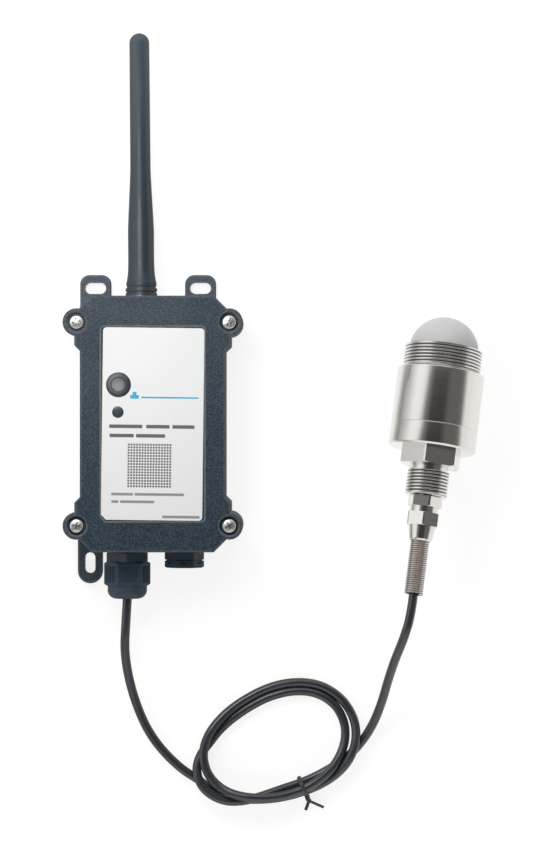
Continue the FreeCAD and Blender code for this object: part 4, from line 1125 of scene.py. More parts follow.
@dataclass(frozen=True)
class Studio:
    """Camera straight above, white floor, pale walls under a dark ceiling, softboxes and a key lamp.

    Sizes are in metres, those of the lens in millimetres.
    """

    camera_at: Point = (0.05486, -0.00045, 1.538)
    lens: float = 140.0
    sensor: float = 36.0
    aim: Point = (0.04, 0.0, 0.02)
    floor_half: float = 4.0
    floor_drop: float = 0.0002
    floor_matt: Colour = (0.3, 0.3, 0.295)
    floor_glow: Colour = (0.83, 0.83, 0.83)
    floor_sides: Pair = (0.055, 0.085)
    floor_dark: float = 0.38
    wall: Colour = (1.0, 0.985, 0.96)
    wall_top: Pair = (0.14, 0.42)
    ceiling: Colour = (0.04, 0.039, 0.04)
    streak: Colour = (0.135, 0.13, 0.125)
    streak_sides: tuple[Pair, Pair] = ((0.3, 0.5), (0.9, 0.97))
    gloss_level: float = 1.15
    key_at: Point = (-0.05, 0.1, 0.25)
    key_size: float = 0.12
    key_watts: float = 0.245
    softboxes: tuple[Softbox, ...] = (
        Softbox("left_softbox", (-0.71, 0.36, 0.6), (1.35, 1.9), 1.1, LEFT_SHADES),
        Softbox("fill_softbox", (-0.05, 0.85, 0.5), (1.4, 0.9), 2.0),
        Softbox("front_softbox", (0.05, -0.85, 0.5), (1.4, 0.9), 1.05),
    )

    def camera(self) -> None:
        """A long lens that looks straight down on the part."""
        data = bpy.data.cameras.new("camera")
        data.lens = self.lens
        data.sensor_width = self.sensor
        camera = placed("camera", data)
        camera.location = self.camera_at
        bpy.context.scene.camera = camera

    def panel(self, name: str, corners: Array, material: bpy.types.Material) -> Piece:
        """A flat four-cornered stage piece.

        Args:
            name: Its name.
            corners: Its corners, in metres.
            material: What it is made of.

        Returns:
            The panel.
        """
        mesh = bpy.data.meshes.new(name)
        mesh.from_pydata(corners.tolist(), [], [[0, 1, 2, 3]])
        mesh.materials.append(material)
        piece = placed(name, mesh)
        return piece

    def floor(self) -> None:
        """A floor that keeps the shadows and looks white to the camera; its left is darker in gloss."""
        sheet = MaterialSheet("floor")
        path = sheet.add("ShaderNodeLightPath").outputs
        side = sheet.split(sheet.here())["X"]
        shade = sheet.ramp(side, *self.floor_sides, self.floor_dark, 1.0)
        gloss = sheet.calc("MULTIPLY", path["Is Glossy Ray"], shade)
        seen = sheet.calc("MAXIMUM", path["Is Camera Ray"], gloss)
        seen = sheet.calc("MAXIMUM", seen, path["Is Transmission Ray"])
        matt = sheet.add("ShaderNodeBsdfDiffuse", {"Color": rgba(self.floor_matt)})
        glow = sheet.add("ShaderNodeEmission", {"Color": rgba(self.floor_glow), "Strength": seen})
        both = sheet.add("ShaderNodeAddShader")
        for socket, part in zip(both.inputs, (matt, glow)):
            sheet.feed(socket, part.outputs[0])
        sheet.show(both)
        signs = np.array([(-1, -1), (1, -1), (1, 1), (-1, 1)], float)
        corners = np.column_stack([signs * self.floor_half, np.full(4, -self.floor_drop)])
        self.panel("floor", corners, sheet.material)

    def softbox(self, box: Softbox) -> None:
        """A panel that faces the part, glows by its shades, no more than white in gloss, and is unseen by
        the camera.

        Args:
            box: Its place, size and brightness.
        """
        way = unit(np.array(self.aim) - np.array(box.centre))
        wide = unit(np.cross(way, LENGTHWAYS))
        tall = np.cross(wide, way)
        halves = np.array([(-1, -1), (-1, 1), (1, 1), (1, -1)]) * np.array(box.size) / 2
        corners = np.array(box.centre) + halves @ np.array([wide, tall])
        sheet = MaterialSheet(box.name)
        panel = self.panel(box.name, corners, sheet.material)
        panel.visible_camera = False
        height = sheet.split(sheet.here())["Z"]
        span = {"Value": height, "From Min": corners[:, 2].min(), "From Max": corners[:, 2].max()}
        share = sheet.add("ShaderNodeMapRange", span).outputs["Result"]
        shading = sheet.add("ShaderNodeValToRGB", {"Fac": share})
        stops = shading.color_ramp.elements
        for place, _ in box.shades[2:]:
            stops.new(place)
        for stop, (place, shade) in zip(stops, box.shades):
            stop.position = place
            stop.color = (shade, shade, shade, 1.0)
        gloss = sheet.add("ShaderNodeLightPath").outputs["Is Glossy Ray"]
        level = sheet.ramp(gloss, 0.0, 1.0, box.level, min(box.level, self.gloss_level))
        glow = {"Color": shading.outputs["Color"], "Strength": level}
        sheet.show(sheet.add("ShaderNodeEmission", glow))

    def key_light(self, spared: Sequence[Piece]) -> None:
        """A small lamp close to the case, which lights all but the spared pieces.

        Args:
            spared: Pieces that the photograph shows without this light.
        """
        group = bpy.data.collections.new("off_key")
        for piece in spared:
            group.objects.link(piece)
        for entry in group.collection_objects:
            entry.light_linking.link_state = "EXCLUDE"
        lamp = bpy.data.lights.new("key", "AREA")
        lamp.shape = "DISK"
        lamp.size = self.key_size
        lamp.energy = self.key_watts
        key = placed("key", lamp)
        way = Vector(self.aim) - Vector(self.key_at)
        key.rotation_euler = way.to_track_quat("-Z", "Y").to_euler()
        key.location = self.key_at
        key.visible_camera = False
        key.light_linking.receiver_collection = group

    def surroundings(self) -> None:
        """Pale walls up to a low height and a dark ceiling above with one paler streak."""
        world = bpy.data.worlds.new("surroundings")
        world.use_nodes = True
        bpy.context.scene.world = world
        sheet = NodeSheet(world.node_tree)
        way = sheet.split(sheet.add("ShaderNodeTexCoord").outputs["Generated"])
        first, last = (sheet.ramp(way["X"], *side) for side in self.streak_sides)
        share = sheet.calc("MULTIPLY", first, sheet.calc("SUBTRACT", 1.0, last))
        above = sheet.blend(share, rgba(self.ceiling), rgba(self.streak))
        tone = sheet.blend(sheet.ramp(way["Z"], *self.wall_top), rgba(self.wall), above)
        sheet.fill(world.node_tree.nodes["Background"], {"Color": tone})

    def build(self) -> None:
        """Sets up the studio but for its key lamp."""
        bpy.context.scene.view_settings.view_transform = "Standard"
        self.camera()
        self.floor()
        for box in self.softboxes:
            self.softbox(box)
        self.surroundings()
        LOG.info("studio: camera, floor and %d softboxes", len(self.softboxes))


# Cable


@dataclass(frozen=True)
class SensorCable:
    """The loose cable from the gland through its tied coil to the probe.

    A row of lay is a place in the winding: the angle along it in degrees from the oval's long axis,
    how far outside the mean oval it runs, and how high it lies, in cable diameters.
    """

    diameter: float = 4.2
    length: float = 653.0
    rest_height: float = 2.2
    section_steps: int = 6
    span_steps: int = 7
    lead_in: tuple[Point, ...] = (
        (-12.5, -80.4, 15.0), (-13.2, -92.0, 15.0), (-14.0, -104.6, 11.8), (-12.2, -117.8, 7.6),
        (-8.6, -130.8, 4.3), (-3.2, -143.0, 2.8), (4.0, -152.6, 2.3), (12.4, -160.5, 2.2),
        (19.6, -164.9, 2.2),
    )
    lead_out: tuple[Point, ...] = (
        (80.9, -160.2, 2.2), (87.2, -156.0, 2.2), (93.6, -150.6, 2.2), (100.6, -140.6, 3.6),
        (105.0, -128.8, 9.0), (107.6, -117.6, 17.8), (110.3, -107.9, 27.0), (113.9, -98.2, 34.0),
        (117.16, -87.69, 36.46), (118.45, -77.89, 34.98),
    )
    oval_centre: Pair = (55.9, -148.9)
    oval: Pair = (36.0, 23.9)
    oval_turn: float = 23.0
    wound: Pair = (196.0, 1008.0)
    turn_points: int = 30
    lay: tuple[Point, ...] = (
        (190, 2.0, 0.0), (204, 0.7, 0.0), (218, 0.1, 0.0), (232, -0.5, 0.0), (242, -0.5, 0.0),
        (252, -0.1, 0.0), (264, 0.5, 0.0), (277, 1.5, 0.06), (287, 2.5, 0.2), (297, 3.5, 0.4),
        (308, 4.1, 0.8), (316, 4.1, 1.06), (329, 3.7, 1.04), (345, 2.8, 0.5), (362, 2.0, 0.03),
        (381, 2.1, 0.0), (402, 3.1, 0.0), (417, 3.05, 0.0), (434, 2.5, 0.0), (455, 1.25, 0.0),
        (472, 0.95, 0.3), (485, 0.85, 0.72), (497, 0.7, 1.05), (508, 0.2, 1.27), (530, -1.5, 1.3),
        (550, -2.4, 1.2), (568, -2.4, 1.5), (583, -2.5, 2.0), (597, -2.3, 2.1), (609, -1.5, 1.8),
        (619, -0.9, 1.42), (637, 0.0, 1.14), (650, 0.2, 1.16), (664, 0.1, 1.2), (674, -0.5, 0.9),
        (690, -1.3, 0.32), (706, -2.2, 0.0), (720, -2.6, 0.0), (741, -1.98, 0.0), (762, -1.02, 0.0),
        (776, -1.0, 0.0), (800, -1.86, 0.0), (822, -3.05, 0.0), (844, -2.76, 0.0), (864, -1.9, 0.05),
        (874, 0.2, 0.2), (884, 2.2, 0.5), (894, 2.95, 0.95), (903, 3.35, 1.1), (914, 3.4, 1.1),
        (925, 2.85, 1.08), (938, 1.8, 1.08), (947, 0.2, 1.06), (957, -1.5, 1.02), (966, -2.9, 0.86),
        (975, -3.5, 0.6), (984, -3.6, 0.36), (998, -2.8, 0.12), (1008, -1.9, 0.0),
    )

    def turns(self) -> Array:
        """Points of the winding: an ellipse whose two radii change by the lay, turned and moved.

        Returns:
            Points in millimetres, from the lead in to the lead out.
        """
        first, last = self.wound
        angles = np.linspace(first, last, round((last - first) / 360 * self.turn_points) + 1)
        keys, outward, layers = np.array(self.lay, float).T
        grow = np.interp(angles, keys, outward)
        height = self.rest_height + self.diameter * np.interp(angles, keys, layers)
        along = (self.oval[0] + grow) * np.cos(np.radians(angles))
        across = (self.oval[1] + grow) * np.sin(np.radians(angles))
        turn = math.radians(self.oval_turn)
        x = self.oval_centre[0] + along * math.cos(turn) - across * math.sin(turn)
        y = self.oval_centre[1] + along * math.sin(turn) + across * math.cos(turn)
        return np.column_stack([x, y, height])

    def cord(self) -> Piece:
        """The cable as one smooth spline with a round section.

        Returns:
            The curve object.
        """
        route = np.vstack([self.lead_in, self.turns(), self.lead_out]) * MM
        curve = bpy.data.curves.new("sensor_cable", "CURVE")
        curve.dimensions = "3D"
        curve.bevel_depth = self.diameter / 2 * MM
        curve.bevel_resolution = self.section_steps
        curve.resolution_u = self.span_steps
        curve.use_fill_caps = True
        spline = curve.splines.new("NURBS")
        spline.points.add(len(route) - 1)
        spline.points.foreach_set("co", np.column_stack([route, np.ones(len(route))]).ravel())
        spline.order_u = 3
        spline.use_endpoint_u = True
        cable = placed("sensor_cable", curve)
        declare(cable, "cable_jacket", ["cable_lead_in", "cable_coil", "cable_lead_out"])
        return cable

    def build(self, tie: Piece) -> None:
        """Args:
            tie: The piece that holds the coil together; not used.
        """
        cable = self.cord()
        LOG.info("sensor_cable: %d route points", len(cable.data.splines[0].points))


@dataclass(frozen=True)
class WireTie:
    """A flat covered wire bent round the coil and twisted together below it."""

    centre: Pair = (68.6, -168.1)
    turn: float = 26.0
    outline: tuple[Pair, ...] = (
        (4.8, 2.6), (4.4, 5.2), (2.9, 8.2), (1.2, 9.3), (-1.2, 9.3), (-3.2, 8.0), (-4.7, 5.0),
        (-4.75, 2.2), (-3.2, 0.3), (0.0, 0.26), (3.2, 0.3), (4.7, 1.2),
    )
    loop_points: int = 120
    strap: float = 1.8
    tail_strap: float = 1.53
    thick: float = 0.3125
    ridge: float = 0.22
    section_points: int = 20
    twist_from: Point = (70.2, -171.8, 3.4)
    twist_to: Point = (71.1, -174.5, 2.6)
    twist_turns: float = 1.5
    twist_radius: float = 0.55
    twist_points: int = 40
    tails: tuple[Point, ...] = ((69.8, -179.5, 1.2), (78.2, -178.2, 1.2))
    tail_points: int = 14
    tail_lie: Point = (1.0, 0.35, 0.25)
    crease: float = 60.0

    def section(self, width: float) -> Array:
        """A flat oval, half as thick at its sides and with a bell-shaped ridge over the wire.

        Args:
            width: Its width.

        Returns:
            Offsets across and through.
        """
        angle = np.linspace(0, 2 * math.pi, self.section_points, endpoint=False)
        across = width / 2 * np.cos(angle)
        bell = np.exp(-((across / (self.ridge * width)) ** 2))
        return np.column_stack([across, self.thick * (1 + bell) / 2 * np.sin(angle)])

    def loop(self) -> Surface:
        """The strap round the bundle: its section carried along a closed outline of straight legs, whose
        points are moved half way to the mean of their neighbours.

        Returns:
            Its surface.
        """
        corners = np.array(self.outline)
        closed = np.vstack([corners, corners[:1]])
        share = np.linspace(0, len(corners), self.loop_points)
        plan = np.column_stack([np.interp(share, np.arange(len(closed)), row) for row in closed.T])
        plan[1:-1] = (plan[:-2] + 2 * plan[1:-1] + plan[2:]) / 4
        angle = math.radians(self.turn)
        outward = np.array([math.sin(angle), -math.cos(angle), 0.0])
        tangent = np.array([math.cos(angle), math.sin(angle), 0.0])
        path = np.array([*self.centre, 0.0]) + plan[:, :1] * outward
        path[:, 2] += plan[:, 1]
        return carried(path, tangent, self.section(self.strap))

    def wire(self, index: int) -> Surface:
        """One wire: a helix round the twist's line, then straight out to its tail.

        Args:
            index: Which of the two wires.

        Returns:
            Its surface.
        """
        first, last = np.array(self.twist_from), np.array(self.twist_to)
        way = unit(last - first)
        side = np.cross(way, UPWARDS)
        top = np.cross(side, way)
        share = np.linspace(0, 1, self.twist_points)[:, None]
        angle = 2 * math.pi * self.twist_turns * share + math.pi * index
        spin = self.twist_radius * (np.cos(angle) * side + np.sin(angle) * top)
        helix = first + share * (last - first) + spin
        out = np.linspace(0, 1, self.tail_points)[1:, None]
        tail = helix[-1] + (np.array(self.tails[index]) - helix[-1]) * out
        path = np.vstack([helix, tail])
        return carried(path, np.array(self.tail_lie), self.section(self.tail_strap))

    def build(self) -> Piece:
        """The loop and its two wires as one piece."""
        surface = merged([self.loop(), self.wire(0), self.wire(1)])
        return make_piece("wire_tie", surface, "tie_plastic", "cable_tie", crease=self.crease)


# Case fittings


@dataclass(frozen=True)
class Aerial:
    """The whip aerial on its ringed coupling, along +Y from the upper end of the case."""

    axis: Axis = Axis((-6.0, 0.0, 15.0), LENGTHWAYS, SIDEWAYS, DOWNWARDS)
    lean: Axis = Axis(
        (-5.43566, 0.00246, 15.0), (-0.00873, 0.99996, 0.0), (0.99996, 0.00873, 0.0), DOWNWARDS
    )
    columns: int = 72
    base: float = 64.67
    socket: Pair = (3.3, 69.0)
    flare: tuple[Pair, ...] = (
        (6.95, 64.67), (6.95, 65.0), (6.6, 66.4), (6.3, 68.6), (6.1, 71.0), (6.0, 75.0), (6.0, 89.5),
        (5.8, 94.5), (4.9, 112.0), (4.7, 117.0),
    )
    flare_soft: float = 0.5
    tip_radius: float = 4.6
    tip_steps: int = 14
    end: float = 180.0
    coupling_start: float = 59.0
    rings: tuple[Pair, ...] = ((7.3, 60.3), (6.85, 61.0), (7.3, 62.5), (6.7, 63.5), (7.0, 64.6))
    ring_soft: float = 0.16
    room: Pair = (4.8, 61.3)
    bore: float = 3.2

    def whip(self) -> None:
        """A turned jacket: socket, flare, long taper and a round tip."""
        tip = arc((0.0, self.end - self.tip_radius), self.tip_radius, 90.0, 0.0, self.tip_steps)
        inside = [(0.0, self.socket[1]), self.socket, (self.socket[0], self.base)]
        stack = PolarStack(self.columns).turn(inside).turn(self.flare, self.flare_soft).turn(tip)
        make_piece("whip_jacket", stack.surface(self.lean), "aerial_jacket", "antenna_whip")

    def coupling(self) -> None:
        """A turned nut: its rings step in and out, with soft edges."""
        outside = [(self.rings[0][0], self.coupling_start)]
        for ring, following in zip(self.rings, self.rings[1:]):
            outside += [ring, (following[0], ring[1])]
        outside += [self.rings[-1], (self.bore, self.rings[-1][1])]
        inside = [(self.bore, self.room[1]), self.room, (self.room[0], self.coupling_start)]
        stack = PolarStack(self.columns).turn(outside, self.ring_soft).turn(inside)
        make_piece("coupling_nut", stack.surface(self.axis), "aerial_jacket", "antenna_coupling")

    def build(self) -> None:
        """Makes the aerial's pieces."""
        self.whip()
        self.coupling()


@dataclass(frozen=True)
class CableGland:
    """The cable gland under the case: a hexagonal body and a ribbed, domed cap nut."""

    axis: Axis = Axis((-12.5, 0.0, 15.0), CABLEWARDS, SIDEWAYS, UPWARDS)
    flats: float = 18.6
    bore: float = 4.6
    inner: float = 47.5
    body_span: Pair = (59.2, 63.3)
    body_spin: float = 90.0
    body_edges: Pair = (0.6, 0.6)
    thread_radius: float = 7.9
    thread_end: float = 69.5
    cap_columns: int = 480
    cap_span: Pair = (63.5, 74.6)
    cap_spin: float = 112.0
    cap_edges: Pair = (0.9, 1.7)
    cap_end: float = 80.4
    dome_radius: float = 9.1
    dome_round: float = 4.0
    dome_steps: int = 16
    exit_radius: float = 2.4
    exit_edge: float = 0.3
    hollow: tuple[Pair, ...] = (
        (2.4, 77.6), (5.2, 77.6), (7.0, 72.5), (7.0, 70.1), (8.0, 70.1), (8.0, 63.5),
    )
    ribs: int = 7
    rib_pitch: float = 1.15
    rib_width: float = 0.55
    rib_depth: float = 0.35
    rib_soft: Pair = (0.12, 0.3)

    def body(self) -> None:
        """A threaded tube with six flats between the case and the cap."""
        start, end = self.body_span
        stack = PolarStack().turn([(self.bore, self.inner), (self.thread_radius, self.inner)])
        stack.turn([(self.thread_radius, start)])
        stack.hexagon(self.flats, self.body_span, self.body_spin, self.body_edges)
        stack.turn([(self.thread_radius, end), (self.thread_radius, self.thread_end)])
        stack.turn([(self.bore, self.thread_end)])
        make_piece("gland_base", stack.surface(self.axis), "black_nylon", "gland_body")

    def rib_cut(self, across: Array, along: Array) -> Array:
        """Depth of the grip grooves: a soft trench at each pitch across a flat, short of its ends.

        Args:
            across: Distance from the middle of the flat.
            along: Distance along the axis.

        Returns:
            The depth at each place.
        """
        reach = self.ribs * self.rib_pitch / 2
        offset = np.mod(across + reach, self.rib_pitch) - self.rib_pitch / 2
        trench = slope(self.rib_width / 2 - np.abs(offset), self.rib_soft[0])
        trench = trench * (np.abs(across) < reach)
        first, last = self.cap_span[0] + self.cap_edges[1], self.cap_span[1] - self.cap_edges[1]
        inside = slope(np.minimum(along - first, last - along), self.rib_soft[1])
        return self.rib_depth * trench * inside

    def cap(self) -> None:
        """The cap nut: ribbed flats, then a dome with a quarter-round shoulder and the cable's exit."""
        stack = PolarStack(self.cap_columns)
        stack.hexagon(self.flats, self.cap_span, self.cap_spin, self.cap_edges, carving=self.rib_cut)
        middle = (self.dome_radius - self.dome_round, self.cap_end - self.dome_round)
        stack.turn([(self.dome_radius, self.cap_span[1])])
        stack.turn(arc(middle, self.dome_round, 90.0, 0.0, self.dome_steps))
        stack.turn([(self.exit_radius + self.exit_edge, self.cap_end)])
        stack.turn([(self.exit_radius, self.cap_end - self.exit_edge)]).turn(self.hollow)
        make_piece("gland_cap", stack.surface(self.axis), "black_nylon", "gland_cap_nut")

    def build(self) -> None:
        """Makes the gland's pieces."""
        self.body()
        self.cap()


@dataclass(frozen=True)
class VentPlug:
    """The pressure vent beside the gland: a hexagonal body under a slotted cap."""

    axis: Axis = Axis((13.8, 0.0, 15.0), CABLEWARDS, SIDEWAYS, UPWARDS)
    flats: float = 15.7
    spin: float = 60.0
    bore: float = 3.0
    inner: float = 49.0
    thread_radius: float = 5.9
    body_span: Pair = (59.1, 62.4)
    body_edges: Pair = (0.3, 0.3)
    neck_flats: float = 14.4
    neck_end: float = 62.9
    spigot: Pair = (5.4, 64.6)
    cap_columns: int = 240
    cap_room: float = 5.5
    cap_end: float = 66.1
    cap_edges: Pair = (0.3, 0.8)
    window: Pair = (3.4, 0.8)
    window_middle: float = 63.8
    window_depth: float = 0.6
    window_soft: Pair = (0.2, 0.12)

    def body(self) -> None:
        """A threaded tube with six flats, a neck and a spigot for the cap."""
        start, end = self.body_span
        stack = PolarStack().turn([(self.bore, self.inner), (self.thread_radius, self.inner)])
        stack.turn([(self.thread_radius, start)])
        stack.hexagon(self.flats, self.body_span, self.spin, self.body_edges)
        stack.hexagon(self.neck_flats, (end, self.neck_end), self.spin)
        stack.turn([(self.spigot[0], self.neck_end), self.spigot, (self.bore, self.spigot[1])])
        make_piece("vent_base", stack.surface(self.axis), "black_nylon", "vent_body")

    def window_cut(self, across: Array, along: Array) -> Array:
        """Depth of the air windows: a soft-edged slot at the start of each flat.

        Args:
            across: Distance from the middle of the flat.
            along: Distance along the axis.

        Returns:
            The depth at each place.
        """
        wide = slope(self.window[0] / 2 - np.abs(across), self.window_soft[0])
        tall = slope(self.window[1] / 2 - np.abs(along - self.window_middle), self.window_soft[1])
        return self.window_depth * wide * tall

    def cap(self) -> None:
        """The cap: six flats with a window in each, closed at the end."""
        top, span = self.spigot[1], (self.neck_end, self.cap_end)
        stack = PolarStack(self.cap_columns)
        stack.turn([(0.0, top), (self.cap_room, top), (self.cap_room, self.neck_end)])
        stack.hexagon(self.flats, span, self.spin, self.cap_edges, carving=self.window_cut)
        stack.turn([(0.0, self.cap_end)])
        make_piece("vent_cover", stack.surface(self.axis), "black_nylon", "vent_cap")

    def build(self) -> None:
        """Makes the vent's pieces."""
        self.body()
        self.cap()


@dataclass(frozen=True)
class FrontPanel:
    """What shows in the front of the lid: four screws, the button in its collar and the window."""

    columns: int = 72
    screws_at: tuple[Pair, ...] = ((-34.7, 46.3), (34.7, 46.3), (34.7, -46.3), (-34.7, -46.3))
    screw_turns: tuple[float, ...] = (12.0, 63.0, 28.0, 81.0)
    shank: Pair = (1.5, 18.5)
    head_radius: float = 2.95
    head_seat: float = 35.0
    head_top: float = 37.0
    head_edge: float = 0.5
    head_crown: float = 7.5
    head_rings: int = 44
    head_middle: float = 0.02
    cross: tuple[float, float, float] = (3.4, 0.8, 0.9)
    cross_soft: Pair = (0.4, 0.16)
    cross_shade: float = 0.65
    button_at: Pair = (-15.5, 17.8)
    button_radius: float = 3.3
    button_top: float = 38.3
    button_edge: float = 0.3
    button_drops: tuple[Pair, ...] = ((3.15, 0.0), (2.85, 0.0), (1.2, 0.12), (0.0, 0.15))
    flange: tuple[float, float, float] = (4.6, 34.2, 35.3)
    collar_bore: float = 3.45
    collar_radius: float = 5.7
    collar_seat: float = 37.5
    collar_rim: float = 37.7
    collar_crown: Pair = (4.0, 38.2)
    collar_lip: Pair = (0.1, 0.2)
    collar_soft: float = 0.2
    window_at: Pair = (-15.8, 5.4)
    window_radius: float = 2.65
    window_span: Pair = (35.5, 37.75)
    window_drops: tuple[Pair, ...] = ((2.65, 0.15), (2.4, 0.04), (1.2, 0.0), (0.0, 0.0))

    def screw(self, place: Pair, turn: float) -> Surface:
        """A pan-head screw: the head's top is a quarter-round rim round a low crown, less a cross recess
        whose depth falls off at the arms' sides and ends; the recess gets painted shade.

        Args:
            place: Where the screw stands.
            turn: How far its cross is turned, in degrees.

        Returns:
            Its surface.
        """
        stack = PolarStack()
        rim = self.head_top - self.head_edge
        stack.turn([(0.0, self.shank[1]), self.shank, (self.shank[0], self.head_seat)])
        stack.turn([(self.head_radius, self.head_seat), (self.head_radius, rim)])
        radii = np.linspace(self.head_radius, self.head_middle, self.head_rings)[:, None]
        over = np.clip((radii - self.head_radius + self.head_edge) / self.head_edge, 0, 1)
        flat = self.head_radius - self.head_edge
        rise = (flat**2 - np.minimum(radii, flat) ** 2) / (2 * self.head_crown)
        crown = rim + self.head_edge * np.sqrt(1 - over**2) + rise
        angle = stack.angles - math.radians(turn)
        x, y = np.abs(radii * np.cos(angle)), np.abs(radii * np.sin(angle))
        length, width, depth = self.cross
        reach = slope(length / 2 - np.maximum(x, y), self.cross_soft[0])
        recess = slope(width / 2 - np.minimum(x, y), self.cross_soft[1]) * reach
        # Painted shade: the cross recess is marked for darkening by the material.
        stack.rings(radii, crown - depth * recess, self.cross_shade * recess)
        stack.turn([(0.0, self.head_top - depth)])
        return stack.surface(upright(*place))

    def screws(self) -> None:
        """All four lid screws as one piece."""
        surfaces = [self.screw(place, turn) for place, turn in zip(self.screws_at, self.screw_turns)]
        make_piece("panel_screws", merged(surfaces), "nickel_screw", "lid_screws")

    def button(self) -> None:
        """A stem with a flange below and a dished, softly edged top."""
        radius, low, high = self.flange
        foot = (self.button_radius, high)
        top = [(self.button_radius, self.button_top - self.button_edge)]
        top += [(wide, self.button_top - drop) for wide, drop in self.button_drops]
        stack = PolarStack(self.columns).turn([(0.0, low), (radius, low), (radius, high), foot])
        surface = stack.turn([foot] + top, self.button_edge).surface(upright(*self.button_at))
        make_piece("button_cap", surface, "button_plastic", "push_button", Body.BUTTON)

    def collar(self) -> None:
        """A ring that rises from its rim to a crown round the button."""
        bore, seat, (wide, deep) = self.collar_bore, self.collar_seat, self.collar_lip
        top = self.collar_crown[1]
        outside = [(self.collar_radius, seat), (self.collar_radius, self.collar_rim), self.collar_crown]
        inside = [(bore + wide, top), (bore, top - deep), (bore, seat)]
        stack = PolarStack().turn(outside + inside, self.collar_soft)
        surface = stack.surface(upright(*self.button_at))
        make_piece("button_ring", surface, "button_plastic", "button_collar")

    def window(self) -> None:
        """A dark disc with a softly crowned face."""
        low, high = self.window_span
        face = [(wide, high - drop) for wide, drop in self.window_drops]
        stack = PolarStack(self.columns).turn([(0.0, low), (self.window_radius, low)] + face)
        surface = stack.surface(upright(*self.window_at))
        make_piece("signal_window", surface, "dark_window", "led_window")

    def build(self) -> None:
        """Makes the panel's pieces."""
        self.screws()
        self.button()
        self.collar()
        self.window()


# Probe


